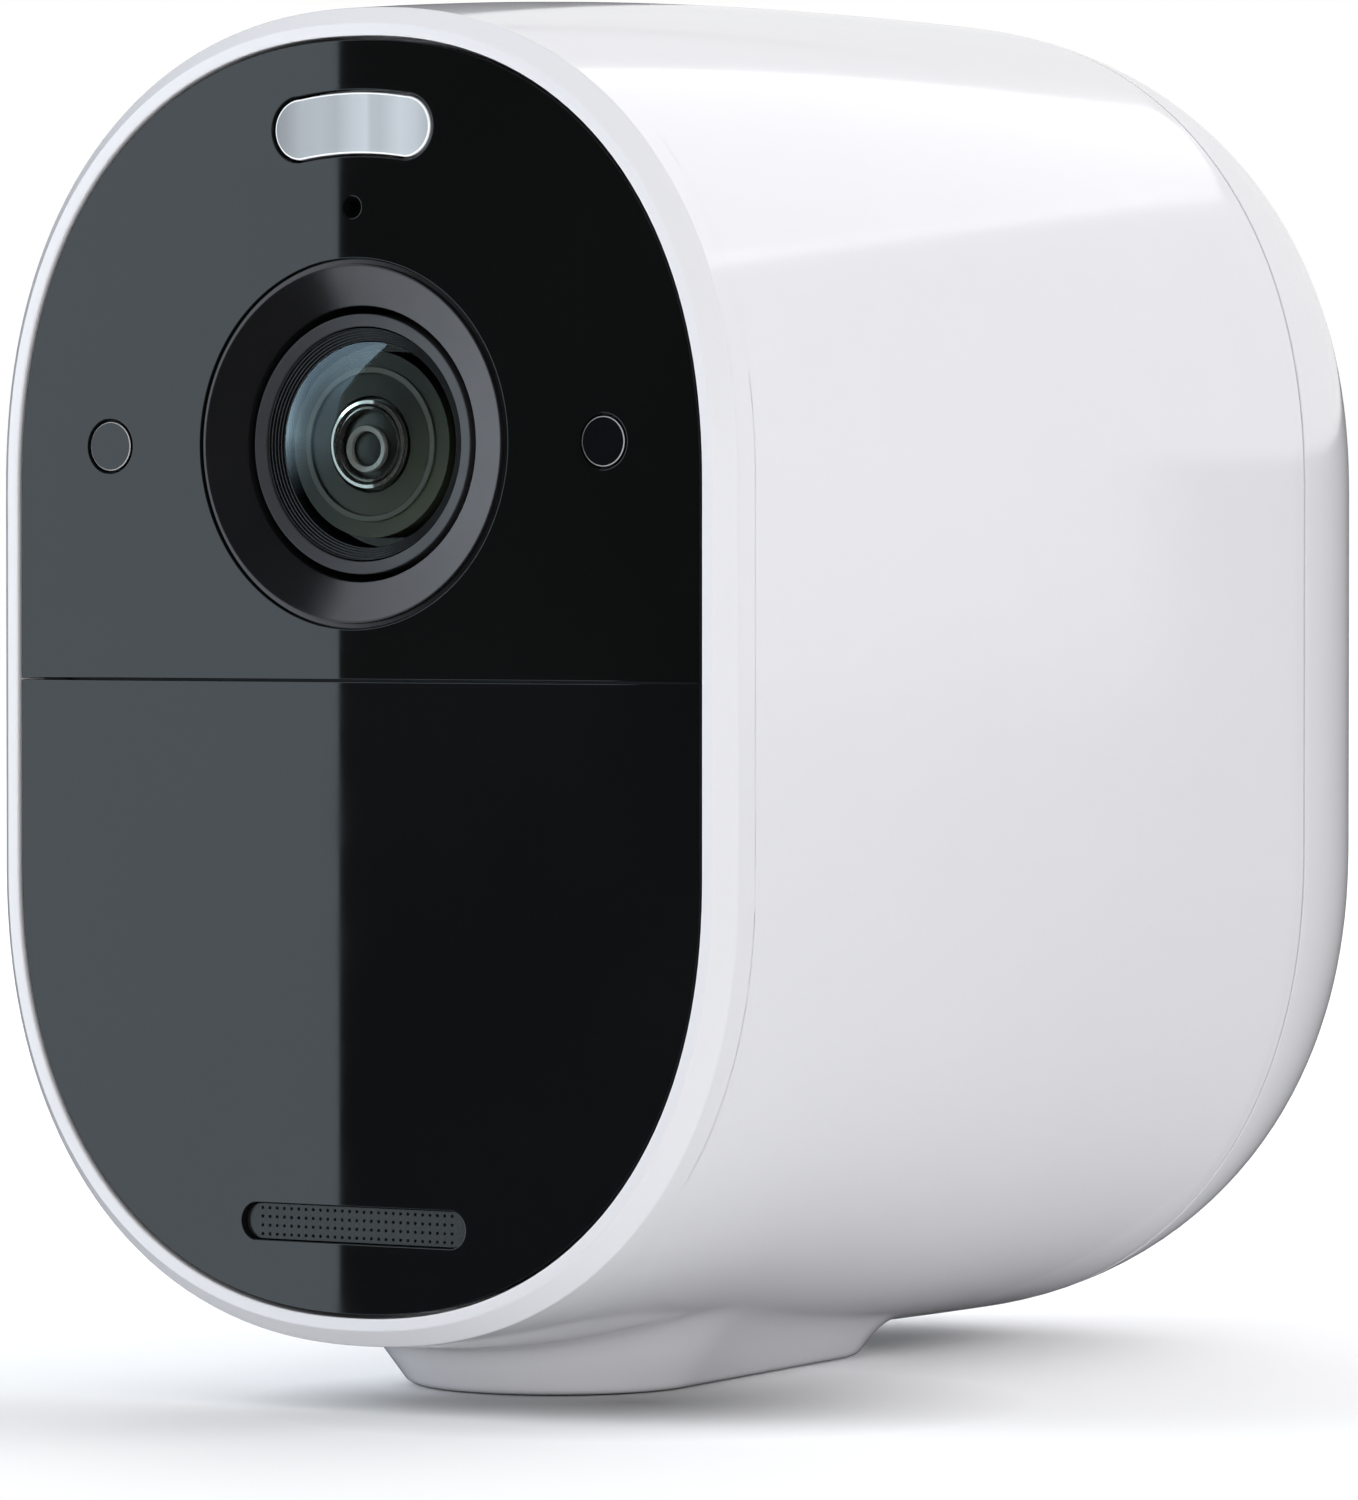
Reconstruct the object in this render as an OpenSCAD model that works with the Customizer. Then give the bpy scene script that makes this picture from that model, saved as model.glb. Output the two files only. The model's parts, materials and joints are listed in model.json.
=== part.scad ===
// Compact wire-free spotlight security camera.
// Frame: +Z up, the lens looks along -Y, +X to the right seen from the front.
// Origin: under the middle of the body, on the surface that the foot stands on.

/* [Body] */
// Depth from the front rim to the back of the dome
body_depth = 88.2; // [84:0.1:94]
// Half of the width of the front panel
panel_half_w = 22.3; // [20:0.1:24]
// Half of the height of the straight sides
side_half_h = 10.3; // [8:0.1:14]
// Height of each rounded end of the front panel
cap_h = 24.4; // [22:0.1:27]
// Roundness of the ends, where 2 is an ellipse
cap_power = 2.23; // [2:0.01:2.6]
// Height of the body's middle above the ground
centre_z = 40; // [39.5:0.1:41]
// Wall of the outer shells
wall = 2.2; // [1.8:0.1:2.4]
// Points round the outline of the body
outline_steps = 60; // [48:4:72]

/* [Barrel] */
// How far the front rim stands out from the panel's outline
rim_out = 1.8; // [1.5:0.05:2.2]
// Depth of the rim's chamfer
rim_chamfer = 1.1; // [0.8:0.05:1.4]
// How far the widest place stands out from the panel's outline
bulge_out = 4; // [3:0.1:4.6]
// Depth of the widest place
bulge_depth = 59.2; // [55:0.1:60]
// How far the dome draws in at the back
dome_in = 25.6; // [24:0.1:26]
// Roundness of the dome, where 2 is an ellipse
dome_power = 1.93; // [1.8:0.01:2.3]
// Depth of the joint between the housing and the rear cover
seam_depth = 61; // [60:0.1:63]

/* [Front] */
// Gap round the black panel
panel_gap = 0.2; // [0.15:0.05:0.3]
// Thickness of the black plates
plate_t = 2; // [1.6:0.1:2.4]
// Height of the line between the plates, from the middle
split_z = -0.15; // [-1:0.05:1]
// Height of the lens above the middle
lens_up = 12.74; // [12:0.01:14]
// Radius of the lens opening in the plate
lens_hole_r = 10.1; // [9.5:0.1:10.5]
// Distance of each small round window from the middle
window_x = 16.2; // [15:0.1:17]
// Radius of each small round window
window_r = 1.5; // [1.2:0.1:1.8]
// Height of the spotlight above the middle
spot_up = 29.9; // [29:0.1:30.4]
// Half of the width of the spotlight
spot_half_w = 5.2; // [4.5:0.1:5.6]
// Half of the height of the spotlight
spot_half_h = 1.73; // [1.5:0.01:1.9]
// Height of the microphone hole above the middle
mic_up = 25.6; // [25:0.1:26]
// Distance of the speaker slot below the middle
slot_down = 29.84; // [29:0.01:30.5]
// Half of the width of the speaker slot
slot_half_w = 7.35; // [6:0.05:8]
// Half of the height of the speaker slot
slot_half_h = 1.03; // [0.9:0.01:1.2]

/* [Foot] */
// Depth of the middle of the foot's wide front end
foot_front = 20.6; // [20:0.1:21]
// Depth of the middle of the foot's narrow rear end
foot_rear = 40.8; // [40:0.1:42]
// Radius of the foot's front end on the ground
foot_front_r = 6.6; // [6.5:0.1:7]
// Radius of the foot's rear end on the ground
foot_rear_r = 4.9; // [4.8:0.1:5.2]
// How far the foot spreads before it meets the body
foot_spread = 5.4; // [4:0.1:6]

/* [Moving parts] */
// Travel of the sync button
button_travel = 0.6; // [0.4:0.05:0.7]
// Travel of the infrared filter's slide
filter_travel = 5.6; // [5:0.1:5.8]

/* [Mount] */
// Radius of the bore of the quarter-inch threaded insert
thread_r = 2.6; // [2.5:0.01:2.7]
// Depth of the threaded bore
thread_len = 7.5; // [6:0.1:8]
// Depth of the flat seat round the insert
seat_depth = 86.6; // [86:0.1:87]
// Radius of the seat
seat_r = 8.5; // [8:0.1:9]

/* [Hidden] */

$fn = 48;
eps = 0.05;
front_y = -body_depth / 2;
lens_z = centre_z + lens_up;
spot_z = centre_z + spot_up;
mic_z = centre_z + mic_up;
slot_z = centre_z - slot_down;
half_steps = outline_steps / 2;

// Depths of the layers behind the rim
face_d = 0.15;
plate_back = face_d + plate_t;
tape_back = plate_back + 0.3;
frame_back = tape_back + 2.1;
shelf_d = frame_back + 0.05;
shelf_out = -0.9;
holder_d = 12;
sensor_board_d = 19.1;
main_board_d = 27.5;
main_board_back = main_board_d + 1.4;
spreader_d = main_board_back + 0.5;

// Places of the boards' posts, from the middle of the body
post_x = 15.5;
post_up = [20.5, -19];

// Motion sensor and speaker, measured down from the middle
pir_down = 8;
pir_half = [13, 8];
pir_mid = 10.5;
speaker_down = 23.5;
speaker_r = 8.5;

// Depths and heights in the foot
plate_top = 2;
foot_top = 4.6;
button_d = 18.2;
bay_d = [22, 33.6];
bay_half_w = 3;
bay_wall = 0.8;
bay_floor = 3.9;
hinge_d = 35.2;
hinge_z = 0.75;
usb_d = 27.8;
charge_board_z = 10.5;

// Button, flap and hinge pin
button_r = 2;
flap_half_w = 3.8;
pin_r = 0.3;
pin_half = 4.4;

// Threaded insert and the seat's flange
insert_front = 78;
insert_r = 4.6;
flange_r = 10.5;
flange_d = [80.8, 82.1];

// Battery and its lead
cell_r = 9.2;
cell_z = [7.7, 72.7];
cell_d = [43.9, 62.5];
strap_t = 0.2;
tray_t = 1.5;
tray_d = [35.9, 58.2];
tray_z = [6.4, 73.7];
board_t = 1.1;
connector_t = 2.6;
lead_r = 0.9;
lead_up = 12;

white = [0.9, 0.9, 0.92];
black = [0.05, 0.05, 0.06];
grey = [0.35, 0.36, 0.38];
green = [0.1, 0.35, 0.2];

// One quarter-turn law for the rounded ends: a signed power of a sine or a cosine
function bent(v) = sign(v) * pow(abs(v), 2 / cap_power);

// Outline of the body's section, offset outwards by out, as [x, height from the middle]
function outline(out) = [
    for (end = [1, -1], i = [0 : half_steps])
        let (a = 180 * i / half_steps + (end > 0 ? 0 : 180))
        [(panel_half_w + out) * bent(cos(a)), (cap_h + out) * bent(sin(a)) + end * side_half_h]
];

// How far the body stands out from the panel's outline at a depth
function body_out(d) = d < bulge_depth
    ? bulge_out - (bulge_out - rim_out)
        * pow((bulge_depth - d) / (bulge_depth - rim_chamfer), 2.45)
    : bulge_out - dome_in * (1 - pow(1 - pow((d - bulge_depth) / (body_depth - bulge_depth),
        dome_power), 1 / dome_power));

// Depth on the dome at an angle from the widest place to the tip
function dome_depth(a, tip) = bulge_depth + (tip - bulge_depth) * sin(a);

// Solid with rings of the body's outline: path holds [depth, out], and a looped path closes
module ringed(path, looped) {
    n = len(outline(0));
    count = len(path);
    points = [for (p = path, q = outline(p[1])) [q[0], front_y + p[0], centre_z + q[1]]];
    sides = [for (i = [0 : count - (looped ? 1 : 2)], j = [0 : n - 1])
        let (k = (i + 1) % count, m = (j + 1) % n)
        [i * n + j, i * n + m, k * n + m, k * n + j]];
    caps = looped ? [] : [[for (j = [n - 1 : -1 : 0]) j], [for (j = [0 : n - 1]) (count - 1) * n + j]];
    polyhedron(points, concat(sides, caps), convexity = 8);
}

// Extrudes a flat shape, drawn as seen from the front, between two depths
module slab(from, to) {
    translate([0, front_y + to, 0]) rotate([90, 0, 0]) linear_extrude(to - from) children();
}

// Round rod along the depth
module rod(x, z, from, to, r) {
    translate([x, front_y + to, z]) rotate([90, 0, 0]) cylinder(r = r, h = to - from);
}

// Round rod from side to side at a depth and a height
module cross_rod(d, z, half_w, r) {
    translate([-half_w, front_y + d, z]) rotate([0, 90, 0]) cylinder(r = r, h = 2 * half_w);
}

// Turned solid round an axis along the depth, drawn as [radius, depth]
module turned(x, z) {
    translate([x, front_y, z]) rotate([-90, 0, 0]) rotate_extrude() children();
}

// Upright block between two corners given as [x, depth, z]
module block(low, high) {
    translate([low[0], front_y + low[1], low[2]]) cube(high - low);
}

module at(x, z) {
    translate([x, z]) children();
}

module rect(half_w, half_h) {
    square([2 * half_w, 2 * half_h], center = true);
}

module rounded(half_w, half_h, r) {
    rect(half_w - r, half_h);
    rect(half_w, half_h - r);
    for (x = [-1, 1], z = [-1, 1]) at(x * (half_w - r), z * (half_h - r)) circle(r);
}

module pill(half_w, half_h) {
    rect(half_w - half_h, half_h);
    for (x = [-1, 1]) at(x * (half_w - half_h), 0) circle(half_h);
}

// Pill whose middle is raised, for the spotlight
module bean(grow) {
    half_h = spot_half_h + grow;
    flat = spot_half_w - spot_half_h;
    rise = 0.28;
    steps = 8;
    arch = [for (i = [-steps : steps]) [flat * i / steps, rise * (1 - pow(i / steps, 2))]];
    polygon(concat([for (p = arch) p + [0, half_h]],
        [for (i = [2 * steps : -1 : 0]) arch[i] - [0, half_h]]));
    for (x = [-1, 1]) at(x * flat, 0) circle(half_h);
}

// Plan of the foot, grown or shrunk, drawn as [x, y]
module foot_plan(grow) {
    hull() {
        translate([0, front_y + foot_front]) circle(foot_front_r + grow, $fn = 32);
        translate([0, front_y + foot_rear]) circle(foot_rear_r + grow, $fn = 32);
    }
}

// White barrel with the front rim, the panel's shelf and the foot
module front_housing() {
    steps = 12;
    outer = [for (i = [1 : steps]) let (d = rim_chamfer + (seam_depth - rim_chamfer) * i / steps)
        [d, body_out(d)]];
    inner = [for (i = [6 : -1 : 1]) let (d = 10 + (seam_depth - 1.2 - 10) * i / 6)
        [d, body_out(d) - wall]];
    groove = body_out(seam_depth) - 1.6;
    land = 0.85;
    color(white) difference() {
        union() {
            ringed(concat([[0, land], [rim_chamfer, rim_out]], outer,
                [[seam_depth, groove], [seam_depth - 1.2, groove]], inner,
                [[shelf_d + 2, shelf_out], [shelf_d, shelf_out], [shelf_d, panel_gap],
                [0, panel_gap]]), true);
            hull() {
                linear_extrude(0.01) foot_plan(0);
                translate([0, 0, foot_top]) linear_extrude(0.01) foot_plan(foot_spread);
            }
        }
        translate([0, 0, -1]) linear_extrude(plate_top + 1 + eps) foot_plan(-0.6);
        translate([0, 0, -1]) linear_extrude(8) foot_plan(-1.4);
    }
}

// White dome with a lip that enters the housing
module rear_cover() {
    steps = 9;
    tip_out = bulge_out - dome_in;
    lip_out = body_out(seam_depth) - wall - 0.15;
    lip_in = lip_out - 1.1;
    lip_len = 2.4;
    gap = 0.1;
    back = body_depth - wall;
    outer = [for (i = [1 : steps])
        let (d = dome_depth(90 * i / steps, body_depth)) if (d > seam_depth + 2) [d, body_out(d)]];
    inner = [for (i = [steps : -1 : 2])
        let (a = 90 * i / steps, d = dome_depth(a, body_depth))
        [dome_depth(a, back), max(body_out(d) - wall, tip_out + 0.2)]];
    color(white) difference() {
        ringed(concat(inner, [[seam_depth + 2, lip_in], [seam_depth - lip_len, lip_in],
            [seam_depth - lip_len, lip_out], [seam_depth + gap, lip_out],
            [seam_depth + gap, body_out(seam_depth + gap)]], outer), false);
        rod(0, centre_z, body_depth - 12, body_depth + 1, seat_r + eps);
    }
}

// Silicone ring between the housing and the rear cover
module cover_gasket() {
    out = body_out(seam_depth) - 1.65;
    color(black) slab(seam_depth - 1.15, seam_depth + 0.05) at(0, centre_z) difference() {
        polygon(outline(out));
        polygon(outline(out - 0.65));
    }
}

// Round white seat in the back of the dome
module mount_seat() {
    bore = insert_r + eps;
    neck = 6.8;
    color(white) turned(0, centre_z) polygon([[bore, seat_depth], [seat_r, seat_depth],
        [seat_r, flange_d[1]], [flange_r, flange_d[1]], [flange_r, flange_d[0]],
        [neck, flange_d[0]], [neck, insert_front], [bore, insert_front]]);
}

// Brass insert with the camera thread
module mount_insert() {
    mouth = seat_depth - 0.2;
    color("goldenrod") turned(0, centre_z) polygon([[0, insert_front], [insert_r, insert_front],
        [insert_r, mouth], [thread_r, mouth], [thread_r, mouth - thread_len],
        [0, mouth - thread_len]]);
}

// Flush plate under the foot, with the port bay and the button's hole
module foot_plate() {
    outer_w = bay_half_w + bay_wall;
    color(white) difference() {
        union() {
            linear_extrude(plate_top) foot_plan(-0.7);
            block([-outer_w, bay_d[0] - bay_wall, 1], [outer_w, bay_d[1] + bay_wall, bay_floor + 1]);
        }
        block([-bay_half_w, bay_d[0], -1], [bay_half_w, bay_d[1], bay_floor]);
        block([-flap_half_w - 0.1, bay_d[0] - 0.4, -1], [flap_half_w + 0.1, hinge_d + hinge_z, 1.5]);
        block([-1.7, usb_d - 4.6, 1], [1.7, usb_d + 4.6, 8]);
        translate([0, front_y + button_d, -1]) cylinder(r = button_r + eps, h = 4);
        cross_rod(hinge_d, hinge_z, pin_half + eps, pin_r + 0.03);
    }
}

// Rubber flap over the charging port
module port_door() {
    plug_half_w = bay_half_w - 0.15;
    knuckle_r = 0.65;
    finger_half_w = 2;
    color(grey) difference() {
        union() {
            block([-flap_half_w, bay_d[0] - 0.25, 0.1], [flap_half_w, hinge_d, 1.1]);
            block([-plug_half_w, bay_d[0] + 0.35, 1], [plug_half_w, bay_d[1] - 0.3, 2.4]);
            cross_rod(hinge_d, hinge_z, flap_half_w, knuckle_r);
        }
        cross_rod(hinge_d, hinge_z, flap_half_w + 1, pin_r + 0.03);
        block([-finger_half_w, bay_d[0] - 1, -0.5], [finger_half_w, bay_d[0] + 0.6, 0.5]);
    }
}

// Steel pin of the flap's hinge
module door_pin() {
    color("silver") cross_rod(hinge_d, hinge_z, pin_half, pin_r);
}

// Sync button that is pressed upwards
module sync_button() {
    color(grey) translate([0, front_y + button_d, 0]) {
        translate([0, 0, 0.4]) cylinder(r = button_r, h = plate_top - 0.2);
        translate([0, 0, plate_top + eps]) cylinder(r = button_r + 0.5, h = 0.6);
        translate([0, 0, plate_top + 0.4]) cylinder(r = button_r / 2, h = 2);
    }
}

// Tact switch over the button
module sync_switch() {
    plunger_z = plate_top + 2.4 + button_travel + eps;
    color("dimgray") translate([0, front_y + button_d, 0]) {
        translate([0, 0, plunger_z]) cylinder(r = 0.9, h = 3);
        translate([-2.25, -2.25, plunger_z + 2]) cube([4.5, 4.5, charge_board_z - plunger_z - 2]);
    }
}

// Charging socket with its tongue
module usb_socket() {
    color("silver") {
        difference() {
            block([-1.6, usb_d - 4.47, bay_floor], [1.6, usb_d + 4.47, charge_board_z]);
            block([-1.3, usb_d - 4.17, bay_floor - 1], [1.3, usb_d + 4.17, charge_board_z - 1]);
        }
        block([-0.35, usb_d - 3.3, bay_floor + 0.6], [0.35, usb_d + 3.3, charge_board_z - 0.5]);
    }
}

// Small board over the foot
module charge_board() {
    color(green) block([-7.5, 15.5, charge_board_z], [7.5, 32.8, charge_board_z + 1]);
}

// Upper black plate
module faceplate_upper() {
    color(black) slab(face_d, plate_back) difference() {
        at(0, centre_z) polygon(outline(0));
        at(0, centre_z + split_z + 0.06 - 50) rect(50, 50);
        at(0, lens_z) circle(lens_hole_r);
        at(0, spot_z) bean(0.08);
        at(0, mic_z) circle(0.6);
        for (x = [-1, 1]) at(x * window_x, lens_z) circle(window_r);
    }
}

// Lower black plate, which the motion sensor looks through
module faceplate_lower() {
    color(black) slab(face_d, plate_back) difference() {
        at(0, centre_z) polygon(outline(0));
        at(0, centre_z + split_z - 0.06 + 50) rect(50, 50);
        at(0, slot_z) pill(slot_half_w, slot_half_h);
    }
}

// Adhesive ring behind the plates
module faceplate_tape() {
    color("gray") slab(plate_back, tape_back) at(0, centre_z) difference() {
        polygon(outline(-0.1));
        polygon(outline(-1.6));
    }
}

// Carrier behind the plates, with posts for the main board
module front_frame() {
    color(black) {
        slab(tape_back, frame_back) difference() {
            at(0, centre_z) polygon(outline(0));
            at(0, lens_z) circle(9.1);
            at(0, spot_z) bean(0.5);
            at(0, mic_z) circle(1.65);
            for (x = [-1, 1]) at(x * window_x, lens_z) circle(window_r + 0.1);
            at(0, centre_z - pir_mid) rect(pir_half[0], pir_half[1]);
            at(0, slot_z) pill(slot_half_w + 0.4, slot_half_h + 0.4);
        }
        for (x = [-post_x, post_x], up = post_up)
            translate([x, front_y + main_board_d, centre_z + up]) rotate([90, 0, 0])
                difference() {
                    cylinder(r = 2.2, h = main_board_d - frame_back);
                    translate([0, 0, -1]) cylinder(r = 0.75, h = 8);
                }
    }
}

// Black cone round the lens
module lens_bezel() {
    color(black) turned(0, lens_z) polygon([[lens_hole_r - 0.1, face_d], [lens_hole_r - 0.1, 2.4],
        [9, 2.4], [9, 4.5], [7.35, 4.5], [7.35, 1]]);
}

// Thin grey ring inside the cone
module lens_trim_ring() {
    color(grey) turned(0, lens_z) polygon([[7.3, 1.05], [7.3, 4.5], [6.8, 4.5], [6.8, 1.2]]);
}

// Barrel with stepped ridges round the glass and a screwed rear half
module lens_barrel() {
    ridges = 4;
    pitch = 0.24;
    top = 1.25;
    steps = [for (i = [0 : ridges - 1], k = [0, 1])
        [6.75 - pitch * (i + k * 0.5), top + 0.16 * i + 0.3 * k]];
    color(black) turned(0, lens_z) polygon(concat([[6.75, 9]], steps,
        [[5.7, 1.9], [5.7, 3.95], [4.3, 3.95], [4.3, 8], [3.4, 8], [3.4, 15.2], [5.95, 15.2], [5.95, 9]]));
}

// Domed front glass
module front_lens() {
    edge_r = 5.65;
    sag = 1.4;
    apex = 0.45;
    curve_r = (edge_r * edge_r + sag * sag) / (2 * sag);
    hollow_r = 4.2;
    color([0.3, 0.4, 0.45]) turned(0, lens_z) polygon(concat(
        [for (i = [0 : 10]) let (r = edge_r * i / 10)
            [r, apex + curve_r - sqrt(curve_r * curve_r - r * r)]],
        [[edge_r, 3.9], [hollow_r, 3.9]],
        [for (i = [9 : -1 : 0]) let (r = hollow_r * i / 10)
            [r, 3.9 - 1.7 * (1 - pow(r / hollow_r, 2))]]));
}

// Two small lenses inside the barrel
module inner_lenses() {
    color([0.3, 0.35, 0.4]) {
        turned(0, lens_z) polygon([[0, 4], [2.5, 4.15], [4.25, 4.5], [4.25, 5.2], [2.5, 5.4], [0, 5.5]]);
        turned(0, lens_z) polygon([[0, 8.6], [3.35, 9], [3.35, 12.6], [0, 13]]);
    }
}

// Aperture ring
module iris_ring() {
    color(grey) turned(0, lens_z) polygon([[1, 5.8], [1.4, 5.8], [1.4, 6.1], [4.25, 6.1],
        [4.25, 6.6], [1, 6.6]]);
}

// Holder that the barrel screws into, with the slide's chamber at the back
module lens_holder() {
    color(black) difference() {
        union() {
            slab(holder_d, sensor_board_d) at(0, lens_z) rounded(11, 7.5, 1);
            rod(0, lens_z, 9.2, holder_d + eps, 7.4);
        }
        rod(0, lens_z, 9, 15.5, 6);
        slab(15.5, 20) at(0, lens_z) rect(9.6, 4.3);
        for (x = [-1, 1]) rod(x * 9.3, lens_z - x * 6, 15, 20, 0.75);
    }
}

// Frame of the sliding infrared filter
module filter_slide() {
    mid = -filter_travel / 2;
    color("dimgray") slab(15.8, 16.5) at(mid, lens_z) difference() {
        rect(6.5, 4.1);
        for (x = [-1, 1]) at(x * 2.8, 0) rect(2.4, 2.8);
    }
}

// The filter's two panes
module filter_glass() {
    mid = -filter_travel / 2;
    color([0.6, 0.3, 0.4]) for (x = [-1, 1])
        slab(15.95, 16.35) at(mid + x * 2.8, lens_z) rect(2.4, 2.8);
}

// Coil that moves the filter
module filter_coil() {
    color("peru") {
        rod(14.4, lens_z, 12.8, 14, 3.2);
        rod(14.4, lens_z, 14 - eps, 17, 2.4);
        rod(14.4, lens_z, 17 - eps, 18.2, 3.2);
    }
}

module image_sensor() {
    color(black) slab(17.8, sensor_board_d) at(0, lens_z) rect(4.4, 3.7);
}

module sensor_board() {
    color(green) slab(sensor_board_d, sensor_board_d + 1.2) at(0, lens_z) difference() {
        rounded(12.2, 9.5, 1);
        for (x = [-1, 1]) at(x * 9.3, -x * 6) circle(0.8);
    }
}

// Flat cable from the sensor board to the main board
module sensor_flex() {
    back = sensor_board_d + 1.2;
    low = centre_z - 1.2;
    color("peru") {
        block([-5, back, low], [5, back + 0.2, lens_z - 4]);
        block([-5, back, low - 0.2], [5, main_board_d, low + 0.01]);
    }
}

// Screws from the sensor board into the holder
module holder_screws() {
    back = sensor_board_d + 1.2;
    color("silver") for (x = [-1, 1]) {
        rod(x * 9.3, lens_z - x * 6, 15.4, back + eps, 0.7);
        rod(x * 9.3, lens_z - x * 6, back, back + 0.9, 1.5);
    }
}

module ir_windows() {
    color([0.1, 0.05, 0.07]) for (x = [-1, 1])
        rod(x * window_x, lens_z, face_d, plate_back, window_r - 0.08);
}

module ir_leds() {
    color([0.75, 0.75, 0.7]) for (x = [-1, 1])
        turned(x * window_x, lens_z) polygon([[0, 4.9], [0.9, 5.1], [1.4, 5.8], [1.4, 7.4],
            [1.8, 7.4], [1.8, 8.2], [0, 8.2]]);
}

module ir_boards() {
    color(green) for (x = [-1, 1])
        slab(8.2, 9.2) at(x * window_x, lens_z) rounded(3.2, 4, 0.6);
}

// Frosted window of the spotlight
module spotlight_lens() {
    color([0.75, 0.8, 0.86]) slab(face_d, frame_back) at(0, spot_z) bean(0);
}

// White reflector with one cup per LED
module spotlight_reflector() {
    color(white) difference() {
        slab(frame_back + eps, 8) at(0, spot_z) rounded(6, 2.3, 0.8);
        for (x = [-1, 0, 1]) translate([x * 3.4, front_y + 8.1, spot_z]) rotate([90, 0, 0])
            cylinder(r1 = 1, r2 = 1.6, h = 4);
    }
}

module spotlight_leds() {
    color([0.95, 0.9, 0.5]) for (x = [-1, 0, 1])
        slab(7.5, 8.1) at(x * 3.4, spot_z) rect(0.65, 0.65);
}

module spotlight_board() {
    color(green) slab(8.1, 9.3) at(0, spot_z - 0.3) rounded(6.4, 2.5, 0.5);
}

// Rubber sleeve that seals the microphone to the plate
module mic_boot() {
    color(black) slab(plate_back, 5.2) at(0, mic_z) difference() {
        circle(1.6);
        circle(0.5);
    }
}

module microphone() {
    color("gold") slab(5.2, 6.3) at(0, mic_z) rect(1.8, 1.3);
}

// Sheet of ring facets in front of the motion sensor
module pir_lens() {
    rings = 9;
    color([0.2, 0.2, 0.22]) difference() {
        slab(plate_back, plate_back + 1) at(0, centre_z - pir_mid) rect(pir_half[0] - 0.1, pir_half[1] - 0.1);
        for (i = [1 : rings]) turned(0, centre_z - pir_down)
            polygon([[1.4 * i, plate_back + 1.1], [1.4 * i, plate_back + 0.6],
                [1.4 * i + 0.9, plate_back + 1.1]]);
    }
}

// Motion sensor in a round metal can
module pir_sensor() {
    color("silver") {
        rod(0, centre_z - pir_down, 6, 9.6, 4.1);
        rod(0, centre_z - pir_down, 9.6 - eps, 10.2, 4.7);
    }
}

module pir_board() {
    color(green) slab(10.2, 11.2) at(0, centre_z - pir_down) rounded(8, 6, 0.8);
}

// Perforated strip in the speaker slot
module speaker_grille() {
    pitch = 0.48;
    columns = 27;
    rows = 4;
    color([0.16, 0.17, 0.18]) slab(0.55, 1.4) difference() {
        at(0, slot_z) pill(slot_half_w - 0.05, slot_half_h - 0.05);
        for (i = [0 : columns - 1], j = [0 : rows - 1])
            at(pitch * (i - (columns - 1) / 2), slot_z + pitch * (j - (rows - 1) / 2))
                circle(0.12, $fn = 8);
    }
}

// Foam chamber between the slot and the speaker
module speaker_gasket() {
    color(grey) slab(frame_back, 6.4) difference() {
        hull() {
            at(0, centre_z - speaker_down) circle(speaker_r + 0.1);
            at(0, slot_z) rect(slot_half_w, slot_half_h + 0.9);
        }
        hull() {
            at(0, centre_z - speaker_down) circle(speaker_r - 1.2);
            at(0, slot_z) rect(slot_half_w - 1, slot_half_h - 0.1);
        }
    }
}

// Speaker with its cone, basket and magnet
module speaker() {
    color("dimgray") turned(0, centre_z - speaker_down) polygon([[0, 7.6], [2.6, 7.2], [3, 7.9],
        [6.6, 6.8], [7.2, 6.45], [speaker_r, 6.45], [speaker_r, 7.6], [6.2, 8.8], [6.2, 11.8], [0, 11.8]]);
}

module main_board() {
    color(green) slab(main_board_d, main_board_back) at(0, centre_z) difference() {
        at(0, 1.5) rounded(18.8, 23, 2);
        for (x = [-post_x, post_x], up = post_up) at(x, up) circle(0.95);
    }
}

// Screws from the main board into the frame's posts
module board_screws() {
    color("silver") for (x = [-post_x, post_x], up = post_up) {
        rod(x, centre_z + up, main_board_d - 5, main_board_back + eps, 0.7);
        rod(x, centre_z + up, main_board_back, main_board_back + 1, 1.6);
    }
}

// Processor and memory
module board_chips() {
    color([0.12, 0.12, 0.13]) {
        slab(main_board_d - 1.4, main_board_d) at(-7, centre_z - 11) rect(5.5, 5.5);
        for (up = [6, 14]) slab(main_board_d - 1, main_board_d) at(-9.5, centre_z + up) rect(4, 3);
        slab(main_board_d - 0.9, main_board_d) at(9.5, centre_z + 17) rect(2.5, 2.5);
    }
}

// Pressed steel cover over the radio
module shield_can() {
    color("silver") difference() {
        slab(main_board_d - 2.2, main_board_d) at(8.5, centre_z - 9) rounded(7, 6.5, 0.6);
        slab(main_board_d - 2, main_board_d + 1) at(8.5, centre_z - 9) rounded(6.8, 6.3, 0.4);
    }
}

// Battery socket on the back of the main board
module board_connector() {
    color("ivory") slab(main_board_back, main_board_back + connector_t)
        at(14, centre_z + lead_up) rect(2.6, 3.5);
}

module thermal_pad() {
    color("lightblue") slab(main_board_back, spreader_d) at(-3, centre_z) rect(9, 11);
}

module heat_spreader() {
    color("gainsboro") slab(spreader_d, spreader_d + 1) at(-2, centre_z) rounded(12, 17, 2);
}

// Printed aerials on both sides of the battery
module antennas() {
    color("peru") for (x = [-1, 1])
        block([x * 17 - 0.4, 36, centre_z + 6], [x * 17 + 0.4, 56, centre_z + 16]);
}

module battery_cells() {
    color("steelblue") for (d = cell_d) translate([0, front_y + d, cell_z[0]])
        cylinder(r = cell_r, h = cell_z[1] - cell_z[0]);
}

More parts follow.
